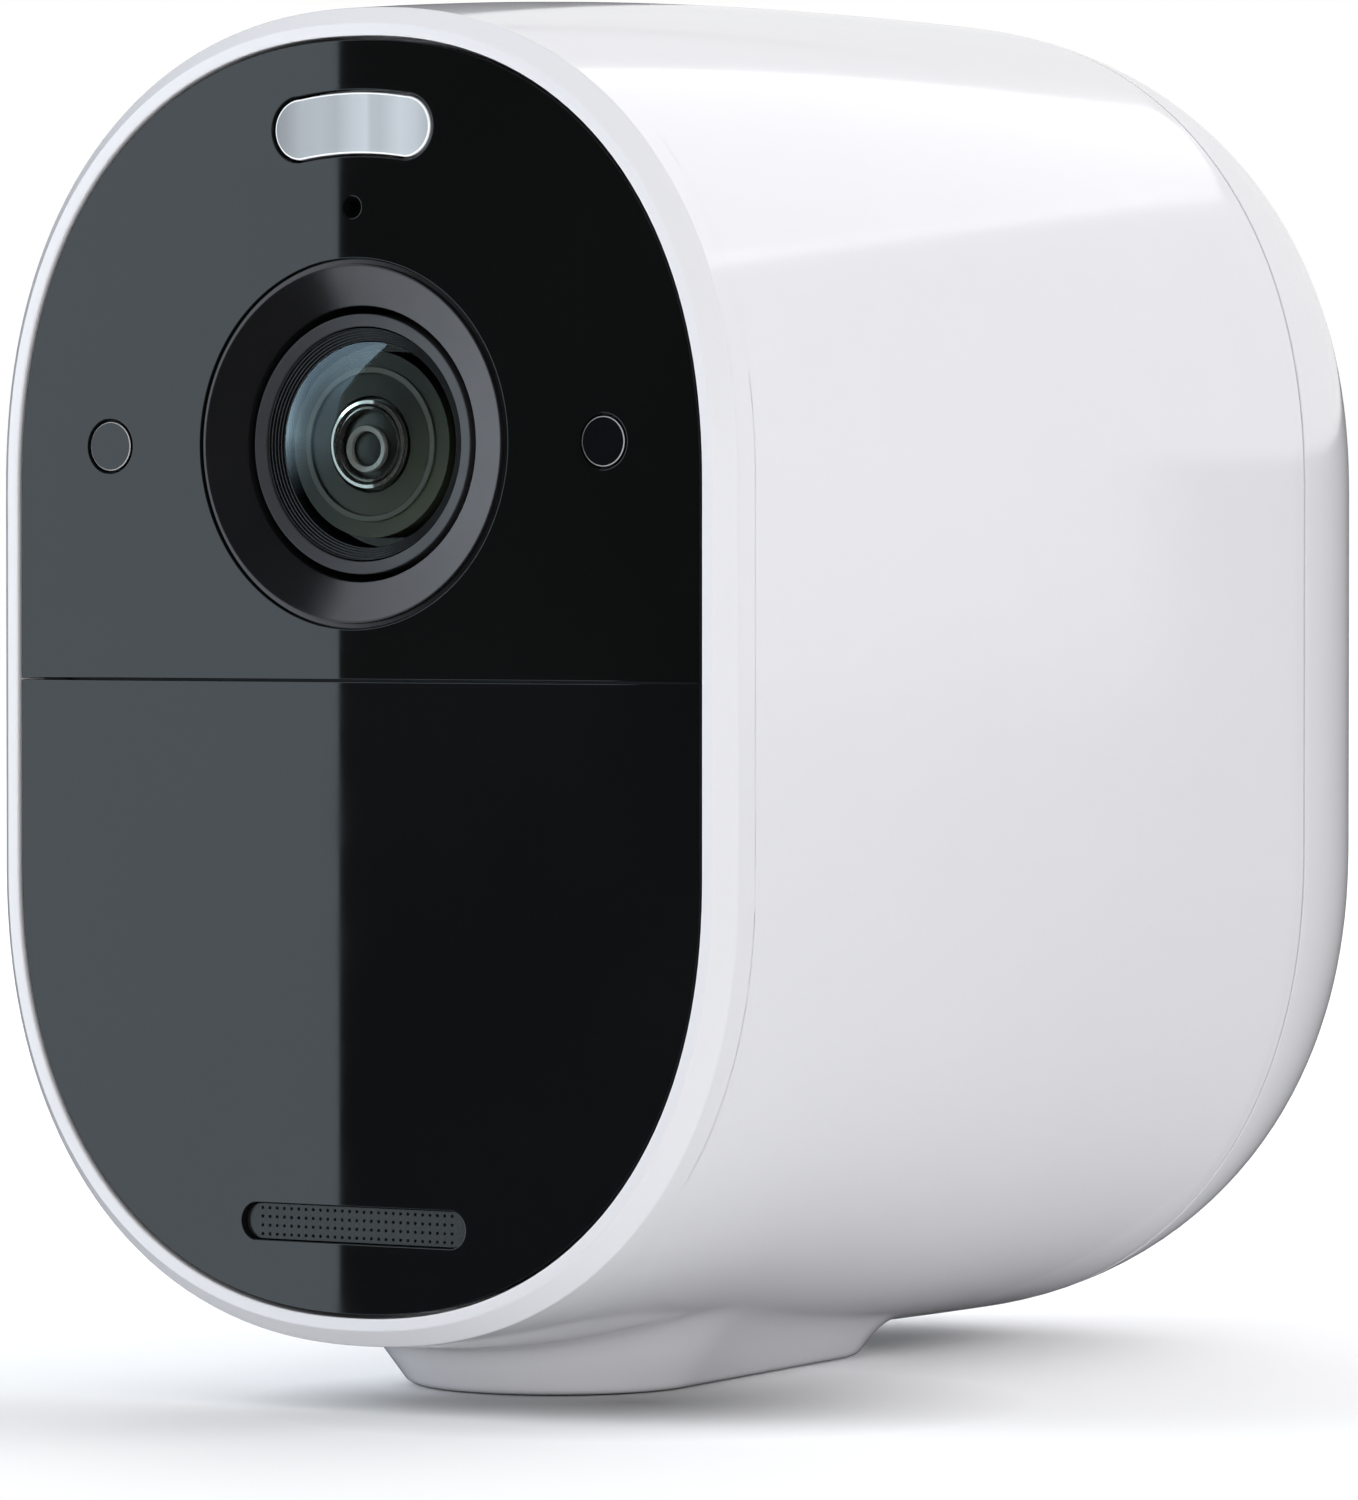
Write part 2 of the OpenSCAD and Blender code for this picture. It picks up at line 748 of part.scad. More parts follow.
// Nickel strips that join the cells
module battery_straps() {
    half_w = 2.5;
    color("silver") for (low = [cell_z[0] - strap_t, cell_z[1]])
        block([-half_w, cell_d[0] - 4, low], [half_w, cell_d[1] + 3, low + strap_t]);
}

// Cradle beside the cells, with a shelf at each end
module battery_tray() {
    side = -cell_r - 0.1;
    back = side - tray_t;
    rear = cell_d[1] + 8;
    shelf_t = 0.8;
    shelf_end = 5;
    color(black) {
        block([back, tray_d[0], tray_z[0]], [side, tray_d[1], tray_z[1]]);
        block([back, tray_d[1] - 1, centre_z - 27], [side, rear, centre_z + 27]);
        block([back, spreader_d + 1, centre_z - 8], [side, tray_d[0] + 1, centre_z + 8]);
        for (low = [tray_z[0], tray_z[1] - shelf_t])
            block([side - 1, tray_d[0], low], [shelf_end, tray_d[1], low + shelf_t]);
    }
}

// Protection board on the other side of the cells
module battery_board() {
    near = cell_r + 0.1;
    color(green) block([near, 47, centre_z - 9], [near + board_t, 61, centre_z + 14]);
}

// Tube along a list of points
module tube(points, r) {
    sides = 8;
    n = len(points);
    rings = [for (i = [0 : n - 1])
        let (back = points[max(i - 1, 0)], next = points[min(i + 1, n - 1)], way = next - back,
            unit = way / norm(way), across = cross(unit, [0, 0, 1]) / norm(cross(unit, [0, 0, 1])),
            up = cross(across, unit))
        for (k = [0 : sides - 1])
            points[i] + r * (cos(360 * k / sides) * across + sin(360 * k / sides) * up)];
    faces = [for (i = [0 : n - 2], k = [0 : sides - 1])
        let (m = (k + 1) % sides)
        [i * sides + k, i * sides + m, (i + 1) * sides + m, (i + 1) * sides + k]];
    ends = [[for (k = [sides - 1 : -1 : 0]) k], [for (k = [0 : sides - 1]) (n - 1) * sides + k]];
    polyhedron(rings, concat(faces, ends));
}

// Lead from the protection board to the main board
module battery_lead() {
    start = [cell_r + 0.15 + board_t + lead_r, front_y + 50];
    finish = [14, front_y + main_board_back + connector_t + eps];
    sag = 1.8;
    steps = 12;
    color("red") tube([for (i = [0 : steps])
        let (t = i / steps, ease = t * t * (3 - 2 * t), bow = sag * pow(sin(180 * t), 2))
        [start[0] + (finish[0] - start[0]) * ease + bow, start[1] + (finish[1] - start[1]) * t,
            centre_z + lead_up]], lead_r);
}

front_housing();
rear_cover();
cover_gasket();
mount_seat();
mount_insert();
foot_plate();
port_door();
door_pin();
sync_button();
sync_switch();
usb_socket();
charge_board();
faceplate_upper();
faceplate_lower();
faceplate_tape();
front_frame();
lens_bezel();
lens_trim_ring();
lens_barrel();
front_lens();
inner_lenses();
iris_ring();
lens_holder();
filter_slide();
filter_glass();
filter_coil();
image_sensor();
sensor_board();
sensor_flex();
holder_screws();
ir_windows();
ir_leds();
ir_boards();
spotlight_lens();
spotlight_reflector();
spotlight_leds();
spotlight_board();
mic_boot();
microphone();
pir_lens();
pir_sensor();
pir_board();
speaker_grille();
speaker_gasket();
speaker();
main_board();
board_screws();
board_chips();
shield_can();
board_connector();
thermal_pad();
heat_spreader();
antennas();
battery_cells();
battery_straps();
battery_tray();
battery_board();
battery_lead();
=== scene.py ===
import json
import math

import bmesh
import bpy
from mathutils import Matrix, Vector


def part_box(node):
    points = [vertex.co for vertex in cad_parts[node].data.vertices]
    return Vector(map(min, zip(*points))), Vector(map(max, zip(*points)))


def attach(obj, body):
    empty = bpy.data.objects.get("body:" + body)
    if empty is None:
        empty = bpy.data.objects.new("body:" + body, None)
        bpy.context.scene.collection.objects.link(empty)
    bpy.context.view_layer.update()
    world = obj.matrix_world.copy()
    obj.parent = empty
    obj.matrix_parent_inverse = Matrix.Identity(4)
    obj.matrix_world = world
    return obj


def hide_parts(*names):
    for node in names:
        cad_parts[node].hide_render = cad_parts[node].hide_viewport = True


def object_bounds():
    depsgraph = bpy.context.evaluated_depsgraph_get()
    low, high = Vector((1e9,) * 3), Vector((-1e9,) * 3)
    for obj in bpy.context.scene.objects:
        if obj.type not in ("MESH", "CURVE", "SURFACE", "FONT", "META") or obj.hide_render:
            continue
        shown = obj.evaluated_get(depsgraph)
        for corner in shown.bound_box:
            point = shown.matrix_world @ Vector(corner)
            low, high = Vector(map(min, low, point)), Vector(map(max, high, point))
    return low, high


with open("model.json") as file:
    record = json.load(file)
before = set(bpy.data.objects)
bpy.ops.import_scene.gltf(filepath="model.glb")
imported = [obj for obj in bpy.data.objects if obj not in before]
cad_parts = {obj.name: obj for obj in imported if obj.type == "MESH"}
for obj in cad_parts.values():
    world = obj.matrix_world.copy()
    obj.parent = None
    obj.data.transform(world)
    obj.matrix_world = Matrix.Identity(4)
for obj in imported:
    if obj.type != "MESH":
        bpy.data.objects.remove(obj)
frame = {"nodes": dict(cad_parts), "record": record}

cad_low, cad_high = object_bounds()
record = frame["record"]
scene = bpy.context.scene

# ---- Frame: lengths are in millimetres, and a depth is measured back from the front rim.
# Points are (x, depth, z).
MM = 0.001
FRONT = cad_low.y / MM
LENGTH = (cad_high.y - cad_low.y) / MM


def centre(node):
    low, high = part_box(node)
    return (low + high) / 2 / MM


THREAD = next(m for m in record["mounts"] if m["name"] == "rear_thread")
CENTRE_Z = THREAD["pos_m"][2] / MM
LENS_Z = centre("front_lens").z
SPOT_Z = centre("spotlight_lens").z
MIC_Z = centre("mic_boot").z
SLOT_Z = centre("speaker_grille").z
WINDOW_R = 1.42
window_low, window_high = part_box("ir_windows")
WINDOW_X = centre("ir_windows").x + (window_high.x - window_low.x) / 2 / MM - WINDOW_R

# The body's law, as in the CAD: a section outline whose offset changes along the depth. The
# outline has straight sides, SIDE_H above and below its middle, and a cap of CAP_H at each end.
HALF_W = 22.3
SIDE_H = 10.3
CAP_H = 24.4
POWER = 2.23
RIM_OUT = 1.8
RIM_POWER = 2.45
RIM_CHAMFER = 1.1
BULGE_OUT = 4.0
BULGE_DEPTH = 59.2
DOME_IN = 25.6
DOME_POWER = 1.93
DOME_RUN = LENGTH - BULGE_DEPTH
SEAM = 61.0
WALL = 2.2
GAP = 0.2

# Black plates: depth of their face and back, and the rounding of their edges
FACE = 0.15
PLATE_BACK = 2.15
PLATE_EDGE = 0.05

# Foot: its plan is two circles and their tangents, and its wall leans outwards as it rises
FOOT_FRONT = 20.6
FOOT_REAR = 40.8
FOOT_FRONT_R = 6.6
FOOT_REAR_R = 4.9
FOOT_ROUND = 1.0
FOOT_SPREAD = 1.2
FOOT_WALL = math.radians(54)


def bent(v):
    return math.copysign(abs(v) ** (2 / POWER), v)


def body_out(d):
    """How far the body stands out from the panel's outline at a depth."""
    if d < BULGE_DEPTH:
        run = (BULGE_DEPTH - max(d, RIM_CHAMFER)) / (BULGE_DEPTH - RIM_CHAMFER)
        return BULGE_OUT - (BULGE_OUT - RIM_OUT) * run ** RIM_POWER
    run = min((d - BULGE_DEPTH) / DOME_RUN, 1.0)
    return BULGE_OUT - DOME_IN * (1 - (1 - run ** DOME_POWER) ** (1 / DOME_POWER))


def dome_depth(out):
    """Depth on the dome at an offset: the inverse of body_out behind the widest place."""
    run = min(max((BULGE_OUT - out) / DOME_IN, 0.0), 1.0)
    return BULGE_DEPTH + DOME_RUN * (1 - (1 - run) ** DOME_POWER) ** (1 / DOME_POWER)


def outline_offset(x, z):
    """Offset of the outline that passes through a point, with z from the body's middle."""
    x, z = abs(x), max(abs(z) - SIDE_H, 0.0)
    low, high = BULGE_OUT - DOME_IN, BULGE_OUT + 1
    for _ in range(40):
        mid = (low + high) / 2
        if (x / (HALF_W + mid)) ** POWER + (z / (CAP_H + mid)) ** POWER > 1:
            low = mid
        else:
            high = mid
    return high


def underside(x, d, out):
    """Height of the lower skin over a point of the ground, at an offset of the outline."""
    c = min(abs(x) / (HALF_W + out), 1.0) ** POWER
    return CENTRE_Z - SIDE_H - (CAP_H + out) * (1 - c) ** (1 / POWER)


# ---- Outline columns: each is (cosine, sine, side), spaced evenly along the outline
def quarter(count):
    """Bent cosine and sine at even steps along one rounded quarter, from the apex to the side."""
    samples = 4000
    angles = (math.pi / 2 * i / samples for i in range(samples + 1))
    fine = [(bent(math.sin(a)), bent(math.cos(a))) for a in angles]
    run = [0.0]
    for a, b in zip(fine, fine[1:]):
        run.append(run[-1] + math.hypot(HALF_W * (b[0] - a[0]), CAP_H * (b[1] - a[1])))
    picks, i = [], 0
    for k in range(count + 1):
        while i < samples and run[i] < run[-1] * k / count:
            i += 1
        picks.append(fine[i])
    picks[0], picks[-1] = (0.0, 1.0), (1.0, 0.0)
    return picks


def outline_columns(per_quarter, per_side):
    """Columns once round, from the lowest point towards +X, up that side, and back down the other."""
    q = quarter(per_quarter)
    right = [(c, -s, -1.0) for c, s in q]
    right += [(1.0, 0.0, -1.0 + 2.0 * i / per_side) for i in range(1, per_side)]
    right += [(c, s, 1.0) for c, s in reversed(q)]
    left = [(-c, s, e) for c, s, e in reversed(right[1:-1])]
    return right + left


def column_point(column, d, out):
    c, s, e = column
    return ((HALF_W + out) * c, d, CENTRE_Z + (CAP_H + out) * s + e * SIDE_H)


def evenly(first, last, count):
    return [first + (last - first) * i / count for i in range(count + 1)]


def circle(x, z, r, count):
    """Points (x, z) at even steps round a circle."""
    return [(x + r * math.cos(a), z + r * math.sin(a))
            for a in (2 * math.pi * i / count for i in range(count))]


# ---- Mesh building
class Skin:
    """Points and faces that grow ring by ring."""

    def __init__(self):
        self.points = []
        self.faces = []
        self.second = set()

    def ring(self, points):
        first = len(self.points)
        self.points += list(points)
        return list(range(first, len(self.points)))

    def join(self, a, b, skip=(), second=False):
        """Faces between two closed rings. A ring of one point makes a fan."""
        n = max(len(a), len(b))
        for j in range(n):
            if j in skip:
                continue
            k = (j + 1) % n
            face = [a[j % len(a)], a[k % len(a)], b[k % len(b)], b[j % len(b)]]
            face = tuple(dict.fromkeys(face))
            if len(face) > 2:
                if second:
                    self.second.add(len(self.faces))
                self.faces.append(face)

    def loft(self, rings, closed=False, second=()):
        """Joins rings in turn. The spans in second take the object's second material."""
        for i in range(len(rings) - (0 if closed else 1)):
            self.join(rings[i], rings[(i + 1) % len(rings)], second=i in second)


def shown(name, data):
    """New object in the scene."""
    obj = bpy.data.objects.new(name, data)
    scene.collection.objects.link(obj)
    return obj


def make_object(name, skin, materials, caps=(), sharp=50):
    """Mesh object from a skin, with keys of MATERIALS. Each of the caps is a list of closed
    rings that a flat face with holes fills, and edges turn sharp above an angle in degrees."""
    bm = bmesh.new()
    verts = [bm.verts.new((x * MM, (FRONT + d) * MM, z * MM)) for x, d, z in skin.points]
    for i, face in enumerate(skin.faces):
        f = bm.faces.new([verts[k] for k in face])
        f.smooth = True
        f.material_index = 1 if i in skin.second else 0
    for rings in caps:
        edges = []
        for ring in rings:
            for j in range(len(ring)):
                pair = (verts[ring[j]], verts[ring[(j + 1) % len(ring)]])
                edges.append(bm.edges.get(pair) or bm.edges.new(pair))
        made = bmesh.ops.triangle_fill(bm, use_beauty=True, use_dissolve=False, edges=edges)
        for f in made["geom"]:
            if isinstance(f, bmesh.types.BMFace):
                f.smooth = False
    bmesh.ops.recalc_face_normals(bm, faces=bm.faces)
    limit = math.radians(sharp)
    for e in bm.edges:
        if len(e.link_faces) == 2 and e.calc_face_angle(0) > limit:
            e.smooth = False
    mesh = bpy.data.meshes.new(name)
    bm.to_mesh(mesh)
    bm.free()
    for key in materials:
        mesh.materials.append(MATERIALS[key])
    return shown(name, mesh)


def softened(path, radii, closed=True, steps=4):
    """Path with its corners rounded, and with points near both ends of a long run that keep it
    flat. radii gives one cut-back length per point, 0 for none."""
    long_run, hold = 0.2, 0.03
    out = []
    n = len(path)
    for i, (p, r) in enumerate(zip(path, radii)):
        if r == 0 or (not closed and i in (0, n - 1)):
            out.append(p)
            continue
        sides = []
        for q in (path[i - 1], path[(i + 1) % n]):
            length = math.dist(p, q)
            cut = min(r, length * 0.49)
            sides.append(tuple(a + (b - a) * cut / length for a, b in zip(p, q)))
        for k in range(steps + 1):
            t = k / steps
            out.append(tuple((1 - t) ** 2 * a + 2 * t * (1 - t) * b + t * t * c
                             for a, b, c in zip(sides[0], p, sides[1])))
    held = []
    for i, p in enumerate(out):
        q = out[(i + 1) % len(out)]
        length = math.dist(p, q)
        held.append(p)
        if length > long_run and (closed or i < len(out) - 1):
            held += [tuple(a + (b - a) * t for a, b in zip(p, q))
                     for t in (hold / length, 1 - hold / length)]
    return held


def turned(name, materials, profile, x, z, segments=128, closed=True, second=()):
    """Revolved object round an axis along the depth. profile is a list of (radius, depth)."""
    skin = Skin()
    rings = []
    for r, d in profile:
        points = circle(x, z, r, segments) if r > 1e-6 else [(x, z)]
        rings.append(skin.ring((px, d, pz) for px, pz in points))
    skin.loft(rings, closed, second)
    return make_object(name, skin, materials, sharp=32)


def place(obj, slot, *nodes):
    """Fixes a piece to the camera's body, in place of any CAD nodes that are named."""
    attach(obj, "camera_body")
    if nodes:
        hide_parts(*nodes)
    return obj


# ---- Materials
def fill_node(tree, node, inputs):
    """Gives each socket a constant, or a link from the output that feeds it."""
    for key, value in inputs.items():
        if isinstance(value, bpy.types.NodeSocket):
            tree.links.new(value, node.inputs[key])
        else:
            node.inputs[key].default_value = value


def add_node(tree, kind, inputs, **settings):
    node = tree.nodes.new("ShaderNode" + kind)
    for key, value in settings.items():
        setattr(node, key, value)
    fill_node(tree, node, inputs)
    return node


def new_material(name):
    """New material, with its tree, its shader and its object coordinates."""
    mat = bpy.data.materials.new(name)
    mat.use_nodes = True
    tree = mat.node_tree
    coords = tree.nodes.new("ShaderNodeTexCoord")
    return mat, tree, tree.nodes["Principled BSDF"], coords.outputs["Object"]


def opened(mat):
    """A surface's tree, shader, object coordinates and grain, to build on."""
    tree = mat.node_tree
    coords = next(n for n in tree.nodes if n.type == "TEX_COORD")
    grain = next(n for n in tree.nodes if n.type == "BUMP")
    return tree, tree.nodes["Principled BSDF"], coords.outputs["Object"], grain


def noise(tree, where, scale, detail=3.0, stretch=None):
    if stretch:
        where = add_node(tree, "Mapping", {"Scale": stretch, "Vector": where}).outputs["Vector"]
    return add_node(tree, "TexNoise", {"Scale": scale, "Detail": detail, "Roughness": 0.55,
                                       "Vector": where}).outputs["Fac"]


def ramp(tree, source, stops):
    """Colour ramp. A stop is a position with a colour or a grey."""
    node = add_node(tree, "ValToRGB", {"Fac": source})
    elements = node.color_ramp.elements
    while len(elements) < len(stops):
        elements.new(0.5)
    for element, (position, colour) in zip(elements, stops):
        element.position = position
        element.color = (*(colour if isinstance(colour, tuple) else (colour,) * 3), 1.0)
    return node.outputs["Color"]


def remap(tree, source, start, end, low=0.0, high=1.0, **settings):
    return add_node(tree, "MapRange", {"From Min": start, "From Max": end, "To Min": low,
                                       "To Max": high, "Value": source}, **settings).outputs["Result"]


def vary(tree, source, low, high):
    """Spreads the usual range of a noise over low to high."""
    return remap(tree, source, 0.3, 0.7, low, high)


def bump(tree, height, strength, distance):
    return add_node(tree, "Bump", {"Strength": strength, "Distance": distance,
                                   "Height": height}).outputs["Normal"]


def calculate(tree, operation, *values):
    """Result of a Math node."""
    return add_node(tree, "Math", dict(enumerate(values)), operation=operation).outputs["Value"]


def dot_product(tree, where, aim):
    return add_node(tree, "VectorMath", {0: where, 1: aim}, operation="DOT_PRODUCT").outputs["Value"]


def output_mix(tree, share, first, second):
    """Sends a mix of two shaders to the material's output."""
    mix = add_node(tree, "MixShader", {"Fac": share, 1: first, 2: second})
    tree.links.new(mix.outputs["Shader"], tree.nodes["Material Output"].inputs["Surface"])


def surface(name, colour, rough, metal=0.0, tint=0.06, rough_range=0.04, tone_scale=90.0,
            grain_scale=4000.0, grain=0.1, grain_depth=0.00002, specular=0.5, coat=0.0, sheen=0.0,
            stretch=None):
    """Moulded or machined surface: slow tone and gloss variation, and a fine grain."""
    mat, tree, shader, where = new_material(name)
    darker = tuple(v * (1 - tint) for v in colour)
    lighter = tuple(min(v * (1 + tint), 1.0) for v in colour)
    gloss = noise(tree, where, tone_scale * 6, stretch=stretch)
    fine = noise(tree, where, grain_scale, 2.0, stretch)
    fill_node(tree, shader, {
        "Base Color": ramp(tree, noise(tree, where, tone_scale), [(0.3, darker), (0.7, lighter)]),
        "Roughness": vary(tree, gloss, max(rough - rough_range, 0.01), rough + rough_range),
        "Normal": bump(tree, fine, grain, grain_depth),
        "Metallic": metal, "Specular IOR Level": specular, "Coat Weight": coat,
        "Coat Roughness": 0.05, "Sheen Weight": sheen})
    return mat


def striped(mat, scale, direction, strength, distance):
    """Adds parallel ridges, such as a winding or a brushed finish, under a material's grain."""
    tree, _, where, grain = opened(mat)
    wave = add_node(tree, "TexWave", {"Scale": scale, "Distortion": 0.4, "Vector": where},
                    bands_direction=direction)
    tree.links.new(bump(tree, wave.outputs["Fac"], strength, distance), grain.inputs["Normal"])
    return mat


def board_material(name):
    """Solder mask over a maze of raised tracks."""
    mat = surface(name, (0.02, 0.13, 0.07), 0.35, tint=0.1, coat=0.3)
    tree, shader, where, grain = opened(mat)
    cells = add_node(tree, "TexVoronoi", {"Scale": 900.0, "Vector": where}, distance="MANHATTAN",
                     feature="DISTANCE_TO_EDGE").outputs["Distance"]
    track, between = (0.05, 0.24, 0.12), (0.015, 0.1, 0.055)
    tone = ramp(tree, cells, [(0.0, track), (0.08, track), (0.12, between)])
    tree.links.new(tone, shader.inputs["Base Color"])
    tree.links.new(bump(tree, cells, 0.3, 0.00003), grain.inputs["Normal"])
    return mat


def clear_material(name, colour, rough):
    """Coated optical glass."""
    mat, tree, shader, where = new_material(name)
    fill_node(tree, shader, {
        "Base Color": (*colour, 1.0), "Transmission Weight": 1.0, "IOR": 1.5,
        "Roughness": vary(tree, noise(tree, where, 700.0), rough, rough + 0.02),
        "Normal": bump(tree, noise(tree, where, 300.0), 0.02, 0.00001)})
    return mat


def coated_glass(name, tint, mirrored=True):
    """Thin clear glass: sees straight through, with a mirror coat outside that rises at the limb."""
    mat, tree, shader, where = new_material(name)
    tree.nodes.remove(shader)
    smear = noise(tree, where, 700.0)
    clear = add_node(tree, "BsdfTransparent", {"Color": (*tint, 1.0)})
    mirror = add_node(tree, "BsdfGlossy", {"Color": (0.86, 0.94, 1.0, 1.0),
                                           "Roughness": vary(tree, smear, 0.004, 0.009)})
    if mirrored:
        limb = add_node(tree, "Fresnel", {"IOR": 1.5}).outputs["Fac"]
        inside = add_node(tree, "NewGeometry", {}).outputs["Backfacing"]
        share = calculate(tree, "MULTIPLY", limb, calculate(tree, "SUBTRACT", 1.0, inside))
    else:
        share = vary(tree, smear, 0.0, 0.012)
    output_mix(tree, share, clear.outputs["BSDF"], mirror.outputs["BSDF"])
    return mat


def bowl_material(name):
    """Black stage behind the front glass, with an olive cast towards its lower right."""
    mat = surface(name, (0.01, 0.01, 0.01), 0.45)
    tree, shader, where, _ = opened(mat)
    right, up = 0.72, -0.694
    middle = LENS_Z * up
    run = remap(tree, dot_product(tree, where, (right, 0.0, up)), (middle - 1.5) * MM,
                (middle + 5.0) * MM)
    cast = ramp(tree, run, [(0.0, 0.0015), (0.3, (0.004, 0.0042, 0.0037)),
                            (0.7, (0.019, 0.021, 0.014)), (1.0, (0.032, 0.035, 0.024))])
    tree.links.new(cast, shader.inputs["Base Color"])
    return mat


def diffuser_material(name):
    """Frosted window with three soft lobes of painted light, one over each LED, where the lit reflector
    cups behind show through.
    """
    mat, tree, shader, where = new_material(name)
    half_w = 5.2 * MM
    split = add_node(tree, "SeparateXYZ", {"Vector": where})
    run = remap(tree, split.outputs["X"], -half_w, half_w)
    # Painted light: the base colour rises in three lobes across the window, standing in for the lit
    # reflector cups seen through it.
    stops = [(0.0, 0.24), (0.08, 0.28), (0.18, 0.38), (0.30, 0.40), (0.40, 0.37), (0.50, 0.47),
             (0.59, 0.52), (0.62, 0.42), (0.68, 0.41), (0.80, 0.52), (0.9, 0.47), (1.0, 0.34)]
    frost = noise(tree, where, 2600.0, 2.0)
    fill_node(tree, shader, {
        "Base Color": ramp(tree, run, [(p, (v * 0.93, v, v * 1.07)) for p, v in stops]),
        "Roughness": vary(tree, frost, 0.3, 0.4), "Normal": bump(tree, frost, 0.08, 0.00001),
        "Subsurface Weight": 0.08, "Subsurface Radius": (1.0, 1.0, 1.0),
        "Subsurface Scale": 0.0008})
    return mat


POLISHED = {"tint": 0.15, "rough_range": 0.004, "tone_scale": 40, "grain_scale": 260,
            "grain": 0.002, "grain_depth": 0.00001}
# Material slots of the CAD nodes, and the extra materials of the finer pieces
MATERIALS = {
    "white_shell": surface("white_shell", (0.68, 0.677, 0.705), 0.11, tint=0.006, rough_range=0.015,
        tone_scale=60, grain_scale=5200, grain=0.04, grain_depth=0.00001),
    "face_black": surface("gloss_black", (0.0042, 0.0046, 0.0046), 0.014, **POLISHED),
    "face_lower_black": surface("gloss_black_lower", (0.0046, 0.005, 0.0056), 0.016, **POLISHED),
    "silicone_seal": surface("silicone", (0.012, 0.012, 0.014), 0.6, grain=0.3, grain_scale=2500),
    "brass_insert": surface("brass", (0.62, 0.44, 0.16), 0.24, metal=1.0, tint=0.1, rough_range=0.08),
    "port_rubber": surface("port_rubber", (0.62, 0.62, 0.64), 0.62, grain=0.35, grain_scale=2600,
        sheen=0.15),
    "steel_small": surface("steel", (0.62, 0.62, 0.63), 0.26, metal=1.0, rough_range=0.1),
    "button_plastic": surface("button_plastic", (0.55, 0.55, 0.57), 0.42, grain=0.3),
    "switch_plastic": surface("switch_plastic", (0.014, 0.014, 0.016), 0.5, grain=0.3),
    "board_green": board_material("solder_mask"),
    "tape_grey": surface("foam_tape", (0.05, 0.05, 0.055), 0.85, grain=0.6, grain_scale=1800),
    "frame_black": surface("frame_black", (0.008, 0.008, 0.009), 0.5, grain=0.25),
    "bezel_black": surface("bezel_black", (0.007, 0.0073, 0.008), 0.22, tint=0.12, rough_range=0.03,
        grain=0.08, grain_scale=6000, specular=0.7),
    "ring_grey": surface("anodised_grey", (0.034, 0.035, 0.039), 0.38, metal=0.1, tint=0.08,
        rough_range=0.05, grain=0.12, grain_scale=7000),
    "barrel_black": surface("barrel_black", (0.005, 0.0053, 0.0055), 0.16, tint=0.1, grain=0.1),
    "lens_glass": coated_glass("lens_glass", (0.94, 0.97, 0.94)),
    "glass_back": coated_glass("glass_back", (0.96, 0.98, 0.96), mirrored=False),
    "bowl": bowl_material("inner_bowl"),
    "retainer_chrome": surface("retainer", (0.36, 0.36, 0.37), 0.09, metal=0.9, rough_range=0.03),
    "retainer_dark": surface("retainer_dark", (0.02, 0.02, 0.02), 0.12, coat=0.5),
    "small_ring": surface("small_ring", (0.1, 0.1, 0.104), 0.3, metal=0.1),
    "ring_pale": surface("ring_pale", (0.04, 0.043, 0.042), 0.5),
    "edge_glint": surface("edge_glint", (0.42, 0.42, 0.43), 0.3),
    "inner_olive": surface("inner_stage", (0.003, 0.0032, 0.0025), 0.3),
    "inner_glass": surface("inner_glass", (0.004, 0.0045, 0.004), 0.6, rough_range=0.05),
    "iris_metal": surface("iris_metal", (0.05, 0.05, 0.055), 0.3, metal=0.7),
    "filter_frame": surface("filter_frame", (0.02, 0.02, 0.022), 0.5, grain=0.3),
    "filter_glass": clear_material("filter_glass", (0.75, 0.4, 0.5), 0.02),
    "copper": striped(surface("copper", (0.7, 0.28, 0.12), 0.28, metal=1.0), 1400.0, "Y", 0.8, 0.0001),
    "chip_black": surface("chip_black", (0.012, 0.012, 0.013), 0.55, grain=0.5, grain_scale=3000),
    "flex_amber": surface("polyimide", (0.42, 0.16, 0.03), 0.3, coat=0.4),
    "ir_window": surface("ir_window", (0.0045, 0.0047, 0.0056), 0.02, tint=0.1, rough_range=0.005,
        grain=0.002, grain_scale=300),
    "led_lens": surface("led_lens", (0.75, 0.75, 0.7), 0.1, coat=0.5),
    "spot_diffuser": diffuser_material("frosted_window"),
    "reflector_white": surface("reflector_white", (0.85, 0.85, 0.85), 0.15, coat=0.5),
    "mic_gold": surface("mic_gold", (0.8, 0.55, 0.22), 0.2, metal=1.0),
    "pir_film": surface("pir_film", (0.03, 0.03, 0.035), 0.3),
    "grille_black": surface("grille", (0.010, 0.011, 0.012), 0.26, tint=0.08, grain=0.12,
        grain_scale=6500, specular=0.7),
    "foam_grey": surface("foam_grey", (0.03, 0.03, 0.033), 0.9, grain=0.8, grain_scale=1600),
    "speaker_body": surface("speaker_body", (0.015, 0.015, 0.016), 0.6, grain=0.4),
    "thermal_blue": surface("thermal_pad", (0.25, 0.42, 0.55), 0.7, grain=0.4, grain_scale=2200),
    "aluminium_plate": striped(surface("aluminium", (0.7, 0.7, 0.72), 0.32, metal=1.0,
        stretch=(1, 1, 14)), 900.0, "X", 0.1, 0.00002),
    "cell_wrap": surface("cell_wrap", (0.02, 0.11, 0.38), 0.22, coat=0.6, tint=0.05),
    "lead_red": surface("lead_red", (0.45, 0.015, 0.012), 0.35),
    "connector_ivory": surface("connector_ivory", (0.7, 0.66, 0.52), 0.45, grain=0.2),
    # window_edge is near-white: a painted highlight on the spotlight window's rounded edge, for its
    # bright rim.
    "window_edge": surface("window_edge", (0.92, 0.93, 0.95), 0.12, tint=0.01, coat=0.4),
}
BEZEL_TINT = (1.0, 0.88, 0.89, 1.0)
opened(MATERIALS["bezel_black"])[1].inputs["Specular Tint"].default_value = BEZEL_TINT

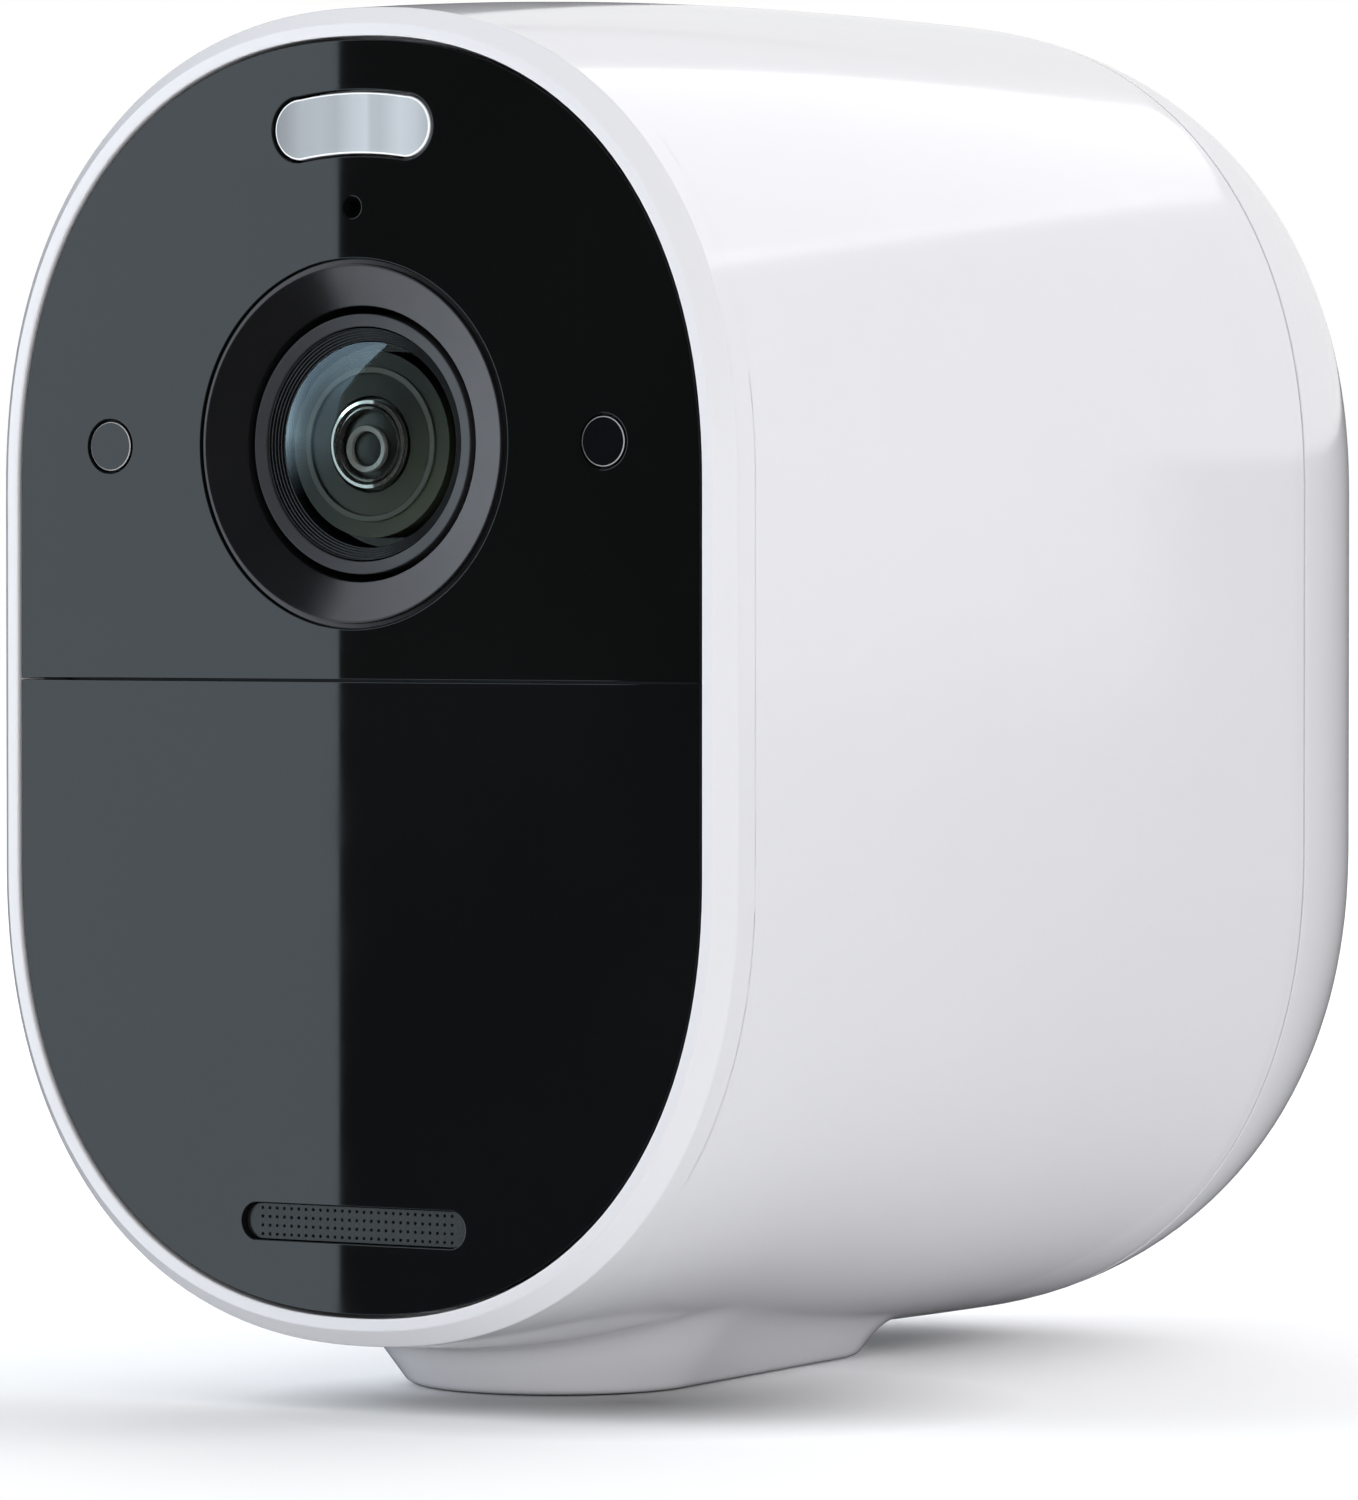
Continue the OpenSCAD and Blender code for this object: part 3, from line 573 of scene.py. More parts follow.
slots = {part["node"]: part["material_slot"] for part in record["subparts"]}
for node, obj in frame["nodes"].items():
    obj.data.materials.clear()
    obj.data.materials.append(MATERIALS[slots[node]])
    for poly in obj.data.polygons:
        poly.use_smooth = False


# ---- White housing: rim, barrel and foot
COLUMNS = outline_columns(40, 16)
N = len(COLUMNS)
FOOT_REACH = 19.5
FOOT_SOFT = 1.2


def outline_rings(skin, stations):
    """One ring round the body for each (depth, offset)."""
    return [skin.ring(column_point(c, d, out) for c in COLUMNS) for d, out in stations]


def foot_distance(x, d):
    """Distance from the foot's plan on the ground and the way outwards, as (distance, nx, nd)."""
    h = FOOT_REAR - FOOT_FRONT
    b = (FOOT_FRONT_R - FOOT_REAR_R) / h
    a = math.sqrt(1 - b * b)
    px, py = abs(x), d - FOOT_FRONT
    k = a * py - b * px
    if k < 0:
        length = max(math.hypot(px, py), 1e-9)
        found = (length - FOOT_FRONT_R, px / length, py / length)
    elif k > a * h:
        length = max(math.hypot(px, py - h), 1e-9)
        found = (length - FOOT_REAR_R, px / length, (py - h) / length)
    else:
        found = (px * a + py * b - FOOT_FRONT_R, a, b)
    return found[0], math.copysign(found[1], x), found[2]


def foot_height(x, d, out):
    """Height of the outer skin where the foot and the body meet in one soft crease."""
    body = underside(x, d, out)
    t = foot_distance(x, d)[0] - FOOT_SPREAD
    turn = FOOT_ROUND * math.sin(FOOT_WALL)
    if t < 0:
        flank = 0.0
    elif t < turn:
        flank = FOOT_ROUND - math.sqrt(FOOT_ROUND ** 2 - t * t)
    else:
        flank = FOOT_ROUND * (1 - math.cos(FOOT_WALL)) + (t - turn) * math.tan(FOOT_WALL)
    soft = min(FOOT_SOFT, 0.9 * flank)
    if soft < 1e-6:
        return min(body, flank)
    h = max(soft - abs(body - flank), 0.0) / soft
    return min(body, flank) - h * h * soft / 4


def perimeter(rings, first, last, width):
    """Indices round the rectangle of grid points that the foot's patch replaces."""
    across = list(range(-width, width + 1))
    loop = [rings[first][j % N] for j in across]
    loop += [rings[i][width % N] for i in range(first + 1, last + 1)]
    loop += [rings[last][j % N] for j in reversed(across[:-1])]
    loop += [rings[i][-width % N] for i in range(last - 1, first, -1)]
    return loop


def foot_patch(skin, border, shrink, steps, height):
    """Rings from the foot's opening out to a border loop, along the plan's normals."""
    spokes = []
    for index in border:
        x, d, _ = skin.points[index]
        t, nx, nd = foot_distance(x, d)
        spokes.append((x, d, t + shrink, nx, nd))

    def ring(back):
        points = [(x - nx * back(reach), d - nd * back(reach)) for x, d, reach, nx, nd in spokes]
        return skin.ring((x, d, height(x, d)) for x, d in points)

    made = [ring(lambda reach, s=s: reach - s) for s in steps]
    made += [ring(lambda reach, k=k: (reach - steps[-1]) * (1 - k)) for k in (0.25, 0.5, 0.75)]
    skin.loft(made + [border])
    return made[0]


def build_housing():
    skin = Skin()
    seam_out = body_out(SEAM)
    front = softened([(1.3, GAP), (0, GAP), (0, 0.85), (RIM_CHAMFER, RIM_OUT), (3.0, body_out(3.0))],
                     [0, 0.1, 0.08, 0.1, 0], closed=False)[:-1]
    rear = softened([(60.0, body_out(60.0)), (SEAM, seam_out), (SEAM, seam_out - 1.6),
                     (59.8, seam_out - 1.6)], [0, 0.07, 0.1, 0], closed=False)
    shelf = [(6.6, -0.9), (4.6, -0.9), (4.6, GAP), (3.0, GAP)]
    count = 56
    outer_rings = outline_rings(skin, front)
    barrel_rings = outline_rings(skin, [(d, body_out(d)) for d in evenly(2.6, 59.2, count)])
    rear_rings = outline_rings(skin, rear)
    inner_rings = outline_rings(skin, [(d, body_out(d) - WALL) for d in evenly(11.0, 58.6, count)])
    shelf_rings = outline_rings(skin, shelf)
    width = next(j for j in range(N) if COLUMNS[j][0] * (HALF_W + 3) > FOOT_REACH)
    hole = set(range(width)) | set(range(N - width, N))
    for rings in (barrel_rings, inner_rings):
        for a, b in zip(rings, rings[1:]):
            skin.join(a, b, skip=hole)
    skin.loft(outer_rings + [barrel_rings[0]])
    skin.loft([barrel_rings[-1]] + rear_rings + [inner_rings[-1]])
    skin.loft([inner_rings[0]] + shelf_rings + [outer_rings[0]])
    steps = [0, 1.0, 1.6, 1.8, 1.9, 2.0, 2.1, 2.2, 2.32, 2.44, 2.56, 2.68, 2.8]
    steps += [3.0 + 0.22 * i for i in range(20)] + [7.6, 8.1, 8.7, 9.5, 10.4]
    sole = foot_patch(skin, perimeter(barrel_rings, 0, count, width), 0.6, steps,
                      lambda x, d: foot_height(x, d, body_out(d)))
    ceiling = foot_patch(skin, perimeter(inner_rings, 0, count, width), 1.4, [0, 1.5, 4.0],
                         lambda x, d: underside(x, d, body_out(d) - WALL))
    ledge_z = 2.05
    wall, ledge = [skin.ring([(*skin.points[i][:2], ledge_z) for i in ring]) for ring in (sole, ceiling)]
    skin.loft([sole, wall, ledge, ceiling])
    return make_object("housing_shell", skin, ["white_shell"])


place(build_housing(), "white_shell", "front_housing")


# ---- White rear cover, seat and threaded insert
def build_cover():
    skin = Skin()
    start = SEAM + 0.24
    hole_r = 8.55
    ring_out = -12.5
    lip_out = body_out(SEAM) - WALL - 0.15
    lip_in = lip_out - 1.1
    first = math.asin((start + 0.6 - BULGE_DEPTH) / DOME_RUN)
    last = math.asin((dome_depth(ring_out) - BULGE_DEPTH) / DOME_RUN)
    path = softened([(start, lip_out), (start, body_out(start)), (start + 0.6, body_out(start + 0.6))],
                    [0, 0.07, 0], closed=False)
    path += [(d, body_out(d)) for d in
             (BULGE_DEPTH + DOME_RUN * math.sin(a) for a in evenly(first, last, 34)[1:])]
    rings = outline_rings(skin, path)
    edge = [column_point(c, 0, ring_out) for c in COLUMNS]
    reaches = [math.hypot(x, z - CENTRE_Z) for x, _, z in edge]
    ways = [(x / r, (z - CENTRE_Z) / r) for (x, _, z), r in zip(edge, reaches)]

    def on_dome(share, r=hole_r):
        """Ring on the dome, between the round hole and the outline at ring_out."""
        ring = []
        for (x, _, z), (ux, uz) in zip(edge, ways):
            px = ux * r * (1 - share) + x * share
            pz = uz * r * (1 - share) + (z - CENTRE_Z) * share
            ring.append((px, dome_depth(outline_offset(px, pz)), CENTRE_Z + pz))
        return ring

    rings += [skin.ring(on_dome(s)) for s in (0.88, 0.75, 0.62, 0.5, 0.38, 0.27, 0.17, 0.09, 0.04)]
    for grow, sink in ((0.22, 0.0), (0.1, 0.03), (0.03, 0.1), (0.0, 0.22)):
        rings.append(skin.ring((x, d - sink, z) for x, d, z in on_dome(0.0, hole_r + grow)))
    floor_d = 84.0
    rings.append(skin.ring((ux * hole_r, floor_d, CENTRE_Z + uz * hole_r) for ux, uz in ways))
    inner_out = ring_out - 0.9
    inner_d = dome_depth(ring_out) - 2.0
    inner_edge = [column_point(c, inner_d, inner_out) for c in COLUMNS]
    for share in (0.35, 0.7, 1.0):
        ring = []
        for (x, d, z), (ux, uz) in zip(inner_edge, ways):
            ring.append((ux * hole_r * (1 - share) + x * share, floor_d * (1 - share) + d * share,
                         (CENTRE_Z + uz * hole_r) * (1 - share) + z * share))
        rings.append(skin.ring(ring))
    back = LENGTH - WALL
    for i in range(9, 0, -1):
        a = math.radians(80 * i / 10)
        d = BULGE_DEPTH + (back - BULGE_DEPTH) * math.sin(a)
        out = body_out(BULGE_DEPTH + DOME_RUN * math.sin(a)) - WALL
        if out > inner_out + 0.5 and d > SEAM + 3:
            rings += outline_rings(skin, [(d, out)])
    rings += outline_rings(skin, [(SEAM + 2, lip_in), (SEAM - 2.4, lip_in), (SEAM - 2.4, lip_out)])
    skin.loft(rings, closed=True)
    return make_object("cover_shell", skin, ["white_shell"])


place(build_cover(), "white_shell", "rear_cover")

SEAT = 86.6
seat_profile = softened([(4.65, SEAT), (8.5, SEAT), (8.5, 82.1), (10.5, 82.1), (10.5, 80.8), (6.8, 80.8),
                         (6.8, 78), (4.65, 78)], [0.15, 0.35, 0, 0.2, 0.2, 0, 0.2, 0.1])
place(turned("mount_disc", ["white_shell"], seat_profile, 0, CENTRE_Z), "white_shell", "mount_seat")


def build_insert():
    """Brass insert with a real helical thread."""
    skin = Skin()
    pitch, depth, bore, length = 1.27, 0.5, 2.6, 7.5
    mouth = 86.4
    around, rows = 96, 72

    def ring(r, d):
        return skin.ring((x, d, z) for x, z in circle(0, CENTRE_Z, r, around))

    rings = [skin.ring([(0, 78, CENTRE_Z)]), ring(4.3, 78), ring(4.6, 78.3), ring(4.6, mouth - 0.12),
             ring(4.48, mouth), ring(3.3, mouth)]
    for i in range(rows + 1):
        d = mouth - 0.25 - (length - 0.25) * i / rows
        fade = min(i / 5, (rows - i) / 5, 1.0)
        points = []
        for k in range(around):
            turn = (d / pitch + k / around) % 1.0
            groove = max(0.0, 1 - abs(turn - 0.5) / 0.44)
            r = bore + depth * groove * fade + (0.45 * (1 - i / 2) if i < 2 else 0)
            a = 2 * math.pi * k / around
            points.append((r * math.cos(a), d, CENTRE_Z + r * math.sin(a)))
        rings.append(skin.ring(points))
    rings.append(skin.ring([(0, mouth - length, CENTRE_Z)]))
    skin.loft(rings)
    return make_object("thread_insert", skin, ["brass_insert"], sharp=30)


place(build_insert(), "brass_insert", "mount_insert")


# ---- Black plates
def circle_loop(x, z, r, count):
    return lambda grow: circle(x, z, r + grow, count)


def bean_loop(z, half_w, half_h, rise):
    """Pill with its middle raised, grown by the loop's argument."""
    flat = half_w - half_h
    arch_steps, end_steps = 16, 24

    def end(x, h, start):
        return [(x + h * math.cos(a), z + h * math.sin(a))
                for a in (start + math.pi * i / end_steps for i in range(1, end_steps))]

    def loop(grow):
        h = half_h + grow
        arch = [(flat * i / arch_steps, rise * (1 - (i / arch_steps) ** 2))
                for i in range(-arch_steps, arch_steps + 1)]
        return ([(x, z - h + y) for x, y in arch] + end(flat, h, -math.pi / 2)
                + [(x, z + h + y) for x, y in reversed(arch)] + end(-flat, h, math.pi / 2))

    return loop


def plate_loop(upper, split):
    """Half of the panel's outline, above or below a level line, grown by the loop's argument.
    Points of the outline nearer to the line than the gap are left out."""
    dense = outline_columns(64, 40)
    gap = 0.3 if upper else 0.05

    def loop(grow):
        ring = [column_point(c, 0, grow) for c in dense]
        line = split - grow if upper else split + grow
        kept = [(x, z) for x, _, z in ring if (z > line) == upper and abs(z - line) > gap]
        start = next(i for i in range(len(kept)) if math.dist(kept[i - 1], kept[i]) > 2 * HALF_W - 3)
        kept = kept[start:] + kept[:start]
        half = HALF_W + grow
        sign = 1 if kept[0][0] > 0 else -1
        ends = [(sign * half, line)] + kept + [(-sign * half, line)]
        bridge = [(x, line) for x in evenly(-sign * half, sign * half, 8)[1:-1]]
        return ends + bridge

    return loop


def plate(name, materials, outer, holes, face, back, bevel, edge_second=False, soft=3):
    """Flat plate with rounded edges on its outline and round each hole."""
    skin = Skin()
    fronts, backs = [], []
    for k, loop in enumerate([outer] + holes):
        way = -1 if k == 0 else 1
        rings = []
        for i in range(soft + 1):
            a = math.pi / 2 * i / soft
            grow, sink = bevel * (1 - math.sin(a)), bevel * (1 - math.cos(a))
            rings.append(skin.ring((x, face + sink, z) for x, z in loop(way * grow)))
        rings.append(skin.ring((x, back - bevel, z) for x, z in loop(0)))
        rings.append(skin.ring((x, back, z) for x, z in loop(way * bevel)))
        skin.loft(rings, second=range(soft) if edge_second else ())
        fronts.append(rings[0])
        backs.append(rings[-1])
    return make_object(name, skin, materials, caps=[fronts, backs], sharp=60)


# The line where the plates meet, and half of the gap between them
SPLIT_GAP = 0.06
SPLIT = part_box("faceplate_upper")[0].z / MM - SPLIT_GAP
SPOT_MIDDLE = SPOT_Z - 0.14
SPOT_RISE = 0.28
upper_holes = [circle_loop(0, LENS_Z, 10.1, 160), bean_loop(SPOT_MIDDLE, 5.28, 1.81, SPOT_RISE),
               circle_loop(0, MIC_Z, 0.6, 32), circle_loop(-WINDOW_X, LENS_Z, 1.51, 64),
               circle_loop(WINDOW_X, LENS_Z, 1.51, 64)]
upper_panel = place(plate("panel_upper", ["face_black"], plate_loop(True, SPLIT + SPLIT_GAP), upper_holes,
                          FACE, PLATE_BACK, PLATE_EDGE), "face_black", "faceplate_upper")
place(plate("panel_lower", ["face_lower_black"], plate_loop(False, SPLIT - SPLIT_GAP),
            [bean_loop(SLOT_Z, 7.35, 1.03, 0.0)], FACE, PLATE_BACK, PLATE_EDGE),
      "face_lower_black", "faceplate_lower")

# ---- Lens
FINE, MEDIUM, COARSE = 192, 160, 96


def lens_piece(name, materials, profile, slot, *nodes, segments=128, x=0, z=LENS_Z, **options):
    """Turned piece on the lens axis, or on the axis at x and z."""
    return place(turned(name, materials, profile, x, z, segments, **options), slot, *nodes)


bezel_profile = softened(
    [(10.04, 0.34), (10.04, 2.4), (9.0, 2.4), (9.0, 4.5), (7.5, 4.5), (7.5, 0.98), (9.66, 0.07),
     (9.78, 0.07), (9.8, 0.34)], [0.03, 0, 0, 0, 0, 0.05, 0.03, 0.03, 0.02], steps=3)
cone = lens_piece("lens_cone", ["bezel_black"], bezel_profile, "bezel_black", "lens_bezel", segments=FINE)
ring_profile = softened([(7.1, 1.06), (7.1, 4.5), (6.5, 4.5), (6.4, 1.2)], [0.08, 0, 0, 0.06], steps=3)
trim = lens_piece("trim_ring", ["ring_grey"], ring_profile, "ring_grey", "lens_trim_ring", segments=FINE)


def barrel_profile():
    """Ridged front edge, and the barrel behind it."""
    ridges, outer_r, pitch, top = 5, 6.33, 0.135, 1.3
    profile = [(outer_r, 9.0)]
    for i in range(ridges):
        r = outer_r - pitch * i
        d = top + 0.11 * i
        profile += [(r, d + 0.03), (r - pitch * 0.12, d), (r - pitch * 0.34, d),
                    (r - pitch * 0.5, d + 0.03), (r - pitch * 0.52, d + 0.2), (r - pitch * 0.96, d + 0.2)]
    profile += [(5.63, 1.9), (5.63, 3.95), (3.4, 3.95), (3.4, 15.2), (5.95, 15.2), (5.95, 9)]
    return profile


barrel = lens_piece("barrel_rings", ["barrel_black"], barrel_profile(), "barrel_black", "lens_barrel",
                    segments=FINE)


def dome(edge_r, sag, apex, steps):
    """Profile of a cap of a sphere, from its apex to its edge."""
    curve_r = (edge_r ** 2 + sag ** 2) / (2 * sag)
    return [(edge_r * i / steps, apex + curve_r - math.sqrt(curve_r ** 2 - (edge_r * i / steps) ** 2))
            for i in range(steps + 1)]


def flank(outer_r, inner_r, d, slope):
    """Ring whose front face leans outwards by an angle in degrees."""
    rise = (outer_r - inner_r) * math.tan(math.radians(slope))
    return [(outer_r, d + rise + 0.4), (outer_r, d + rise), (inner_r, d), (inner_r - 0.06, d + 0.4)]


# The front glass: its outer face takes the mirror coat, and the rest is plain
outside = dome(5.58, 0.75, 1.1, 30)
front_glass = outside + [(5.58, 3.85), (5.15, 3.85)] + dome(5.15, 0.64, 1.35, 24)[::-1]
glass = lens_piece("front_glass", ["lens_glass", "glass_back"], front_glass, "lens_glass", "front_lens",
                   segments=MEDIUM, closed=False, second=range(len(outside) - 1, len(front_glass)))
bowl = [(5.1, 3.8), (5.1, 2.04), (4.26, 2.0), (4.24, 1.9), (4.2, 1.87), (3.95, 1.87), (3.91, 1.9),
        (3.89, 2.02), (2.66, 1.9), (2.62, 1.94), (2.6, 3.8)]
lens_piece("inner_bowl", ["bowl", "ring_pale"], bowl, "barrel_black", segments=MEDIUM, second=range(3, 6))

# The surroundings of the glass don't block what it mirrors
for obj in (cone, trim, barrel, upper_panel):
    obj.visible_glossy = False
INNER_AXIS = {"x": -0.2, "z": LENS_Z - 0.25}
small_ring = softened([(1.28, 1.74), (1.28, 2.1), (0.96, 2.1), (0.96, 1.8)], [0.06, 0, 0, 0.05], steps=3)
inner_stage = [(2.6, 2.25), (2.1, 2.1), (0.9, 2.06), (0.9, 3.1), (2.6, 3.1)]
inner_glass = dome(0.94, 0.12, 1.95, 12) + [(0.94, 2.6), (0, 2.6)]
behind_glass = [
    glass,
    lens_piece("retainer", ["retainer_chrome"], flank(2.4, 2.22, 1.58, 21), "ring_grey"),
    lens_piece("retainer_inner", ["retainer_dark"], flank(2.06, 1.93, 1.66, 21), "barrel_black"),
    lens_piece("small_ring", ["small_ring"], small_ring, "ring_grey", segments=COARSE, **INNER_AXIS),
    lens_piece("inner_stage", ["inner_olive"], inner_stage, "barrel_black", segments=COARSE),
    lens_piece("inner_glass", ["inner_glass"], inner_glass, "barrel_black", segments=64, closed=False,
               **INNER_AXIS)]

# ---- Small round windows, spotlight window
for side, name in ((-1, "window_left"), (1, "window_right")):
    profile = [(0, FACE), (1.28, FACE), (1.3, FACE), (1.345, FACE + 0.045), (1.345, PLATE_BACK),
               (0, PLATE_BACK)]
    lens_piece(name, ["ir_window", "edge_glint"], profile, "ir_window", "ir_windows", segments=72,
               x=side * WINDOW_X, closed=False, second=(2,))

# The window's rounded edge takes window_edge, whose near-white colour is a painted highlight for the
# bright rim.
place(plate("spotlight_window", ["spot_diffuser", "window_edge"],
            bean_loop(SPOT_MIDDLE, 5.08, 1.66, SPOT_RISE), [], FACE, 4.5, 0.1, edge_second=True, soft=4),
      "spot_diffuser", "spotlight_lens")


# ---- Speaker grille: a satin slab with four rows of fine holes
def grille_holes():
    rows, columns, pitch = 4, 27, 0.48
    for row in range(rows):
        for i in range(columns):
            x, z = (i - 13) * pitch, SLOT_Z + (row - 1.5) * pitch
            yield circle_loop(x, z, 0.085, 8)


place(plate("grille", ["grille_black"], bean_loop(SLOT_Z, 7.3, 0.98, 0.0), list(grille_holes()), 0.55,
            1.4, 0.02, soft=1), "grille_black", "speaker_grille")

# ---- CAD pieces that stay: a small rounding on the edges that can be seen
ROUNDED = {"foot_plate": 0.12, "port_door": 0.15, "sync_button": 0.12, "usb_socket": 0.05,
           "door_pin": 0.04}
for node, width in ROUNDED.items():
    bevel = frame["nodes"][node].modifiers.new("edges", "BEVEL")
    bevel.width = width * MM
    bevel.segments = 2
    bevel.limit_method = "ANGLE"
    bevel.angle_limit = math.radians(40)

# ---- Stage: sky, floor, lights, camera. Lengths here are in metres, and angles in degrees.
MIDDLE_Z = CENTRE_Z * MM
HORIZON = 1.0
DIAGONAL = math.sqrt(0.5)
# Soft lobes of the sky: the way each faces, its strength and its narrowness
SKY_LOBES = [((DIAGONAL, DIAGONAL, 0), 0.5, 2.0), ((-DIAGONAL, DIAGONAL, 0), 1.0, 2.0),
             ((0, 0, 1), 1.2, 3.0)]
LAMPS = {"overhead": 1.2, "toe": 4.0, "floor": 1.18, "front_left": 1.85, "shoulder": 1.8, "wall": 0.85,
         "low_front": 8.2}


def build_sky():
    """White room: even near the horizon, with soft lobes of light from behind and overhead."""
    world = bpy.data.worlds.new("studio")
    scene.world = world
    world.use_nodes = True
    tree = world.node_tree
    way = tree.nodes.new("ShaderNodeTexCoord").outputs["Generated"]
    total = 0.0
    for aim, strength, power in SKY_LOBES:
        front = calculate(tree, "MAXIMUM", dot_product(tree, way, aim), 0.0)
        lobe = calculate(tree, "POWER", front, power)
        total = calculate(tree, "MULTIPLY_ADD", lobe, strength, total)
    height = add_node(tree, "SeparateXYZ", {"Vector": way}).outputs["Z"]
    share = remap(tree, height, 0.07, 0.2, interpolation_type="SMOOTHSTEP")
    mix = add_node(tree, "Mix", {"Factor": share, "A": HORIZON, "B": total}, data_type="FLOAT")
    fill_node(tree, tree.nodes["Background"], {"Strength": mix.outputs["Result"],
                                               "Color": (1.0, 1.0, 1.0, 1.0)})
    world.cycles_visibility.glossy = world.cycles_visibility.transmission = False


def stage_panel(name, corners, mat):
    mesh = bpy.data.meshes.new(name)
    mesh.from_pydata(corners, [], [range(len(corners))])
    mesh.materials.append(mat)
    obj = shown(name, mesh)
    return obj


def build_floor():
    """Pale floor, darker in front of the foot, for the contact shadow."""
    mat, tree, shader, where = new_material("floor_pale")
    tone = ramp(tree, noise(tree, where, 3.0), [(0.3, (0.93, 0.93, 0.935)), (0.7, (0.95, 0.95, 0.955))])
    patch = add_node(tree, "Mapping", {"Location": (0.010, -0.031, 0), "Scale": (0.022, 0.022, 1),
                                       "Vector": where}, vector_type="TEXTURE").outputs["Vector"]
    reach = add_node(tree, "VectorMath", {0: patch}, operation="LENGTH").outputs["Value"]
    shade = ramp(tree, reach, [(0.0, 0.32), (0.15, 0.42), (0.35, 0.57), (0.65, 0.8), (1.0, 1.0)])
    both = add_node(tree, "Mix", {"Factor": 1.0, "A": tone, "B": shade}, data_type="RGBA",
                    blend_type="MULTIPLY")
    fill_node(tree, shader, {"Base Color": both.outputs["Result"], "Roughness": 0.9,
                             "Specular IOR Level": 0.0})
    # Open when it is seen from below, so that the underside of the object can be looked at
    below = add_node(tree, "NewGeometry", {}).outputs["Backfacing"]
    clear = add_node(tree, "BsdfTransparent", {})
    output_mix(tree, below, shader.outputs["BSDF"], clear.outputs["BSDF"])
    half, drop = 12.0, 0.00003
    sides = ((-1, -1), (1, -1), (1, 1), (-1, 1))
    obj = stage_panel("floor", [(x * half, y * half, 0) for x, y in sides], mat)
    obj.location.z = -drop
    obj.visible_glossy = False
    return obj


def link_lamp(lamp, things, only):
    """Lets a lamp light only these things, or everything but them."""
    group = bpy.data.collections.new(lamp.name + "_receivers")
    for thing in things:
        group.objects.link(thing)
    if not only:
        for item in group.collection_objects:
            item.light_linking.link_state = "EXCLUDE"
    lamp.light_linking.receiver_collection = group


def bearing(azimuth, elevation):
    """Unit vector at an azimuth from the front towards +X, and an elevation."""
    azimuth, elevation = math.radians(azimuth), math.radians(elevation)
    return Vector((math.sin(azimuth) * math.cos(elevation), -math.cos(azimuth) * math.cos(elevation),
                   math.sin(elevation)))


def toward(azimuth, elevation, reach):
    """Place seen from the object's middle."""
    return bearing(azimuth, elevation) * reach + Vector((0, 0, MIDDLE_Z))


def softbox(name, position, towards, width, height, radiance, colour=(1, 1, 1),
            kinds=("diffuse", "glossy")):
    """Rectangular lamp. Its power is the radiance times pi times its area."""
    light = bpy.data.lights.new(name, "AREA")
    light.shape = "RECTANGLE"
    light.size, light.size_y = width, height
    light.energy = radiance * math.pi * width * height
    light.color = colour
    obj = shown(name, light)
    obj.location = position
    aim = Vector(towards) - Vector(position)
    obj.rotation_euler = aim.to_track_quat("-Z", "Y").to_euler()
    obj.visible_glossy = "glossy" in kinds
    obj.visible_diffuse = "diffuse" in kinds
    return obj


def sun(name, azimuth, elevation, energy, spread):
    """Soft distant light that no mirror shows."""
    light = bpy.data.lights.new(name, "SUN")
    light.energy, light.angle = energy, math.radians(spread)
    obj = shown(name, light)
    obj.rotation_euler = toward(azimuth, elevation, 1.0).to_track_quat("Z", "Y").to_euler()
    obj.visible_glossy = False
    return obj


def build_dome_panel():
    """Panel on the left, brighter towards its top and its far side, that only mirrors show."""
    azimuth, reach = -54.7, 2.4
    half, low_z, high_z, top_z = 0.585, -0.40, 1.16, 1.42
    turn = math.radians(azimuth)
    across = Vector((math.cos(turn), math.sin(turn), 0))
    middle = toward(azimuth, 0, reach)
    corners = []
    for side, z in ((-half, low_z), (0.367, low_z), (0.497, 0.57), (1.134, top_z), (-half, top_z)):
        point = middle + across * side
        corners.append((point.x, point.y, MIDDLE_Z + z))
    mat, tree, shader, where = new_material("dome_panel")
    tree.nodes.remove(shader)
    start = middle.dot(-across)
    sideways = remap(tree, dot_product(tree, where, tuple(-across)), start - half, start + half)
    height = add_node(tree, "SeparateXYZ", {"Vector": where}).outputs["Z"]
    upwards = remap(tree, height, MIDDLE_Z + low_z, MIDDLE_Z + high_z)
    far = ramp(tree, sideways, [(0.0, 0.0), (0.35, (0.1, 0.14, 0.17)), (0.6, (0.9, 1.2, 1.4)),
                                (0.75, (2.4, 3.2, 3.6)), (0.84, (4.4, 5.8, 6.4)),
                                (0.89, (8.0, 10.0, 10.8)), (1.0, (9.0, 11.0, 12.0))])
    high = ramp(tree, upwards, [(0.0, 0.0), (0.15, (0.07, 0.1, 0.12)), (0.256, (0.24, 0.35, 0.42)),
                                (0.3, (0.3, 0.45, 0.54)), (0.46, (0.4, 0.58, 0.7)),
                                (0.58, (0.62, 0.9, 1.1)), (0.72, (1.3, 1.8, 2.15)),
                                (0.88, (2.2, 3.0, 3.5)), (1.0, (2.5, 3.4, 4.0))])
    gate = ramp(tree, upwards, [(0.0, 0.0), (0.1, 0.06), (0.256, 0.45), (0.36, 1.0)])
    both = add_node(tree, "VectorMath", {0: far, 1: gate, 2: high}, operation="MULTIPLY_ADD")
    glow = add_node(tree, "Emission", {"Color": both.outputs["Vector"]})
    tree.links.new(glow.outputs["Emission"], tree.nodes["Material Output"].inputs["Surface"])
    obj = stage_panel("dome_panel", corners, mat)
    obj.visible_camera = obj.visible_diffuse = False
    obj.visible_transmission = obj.visible_shadow = False
    link_lamp(obj, behind_glass, True)


build_sky()
floor = build_floor()

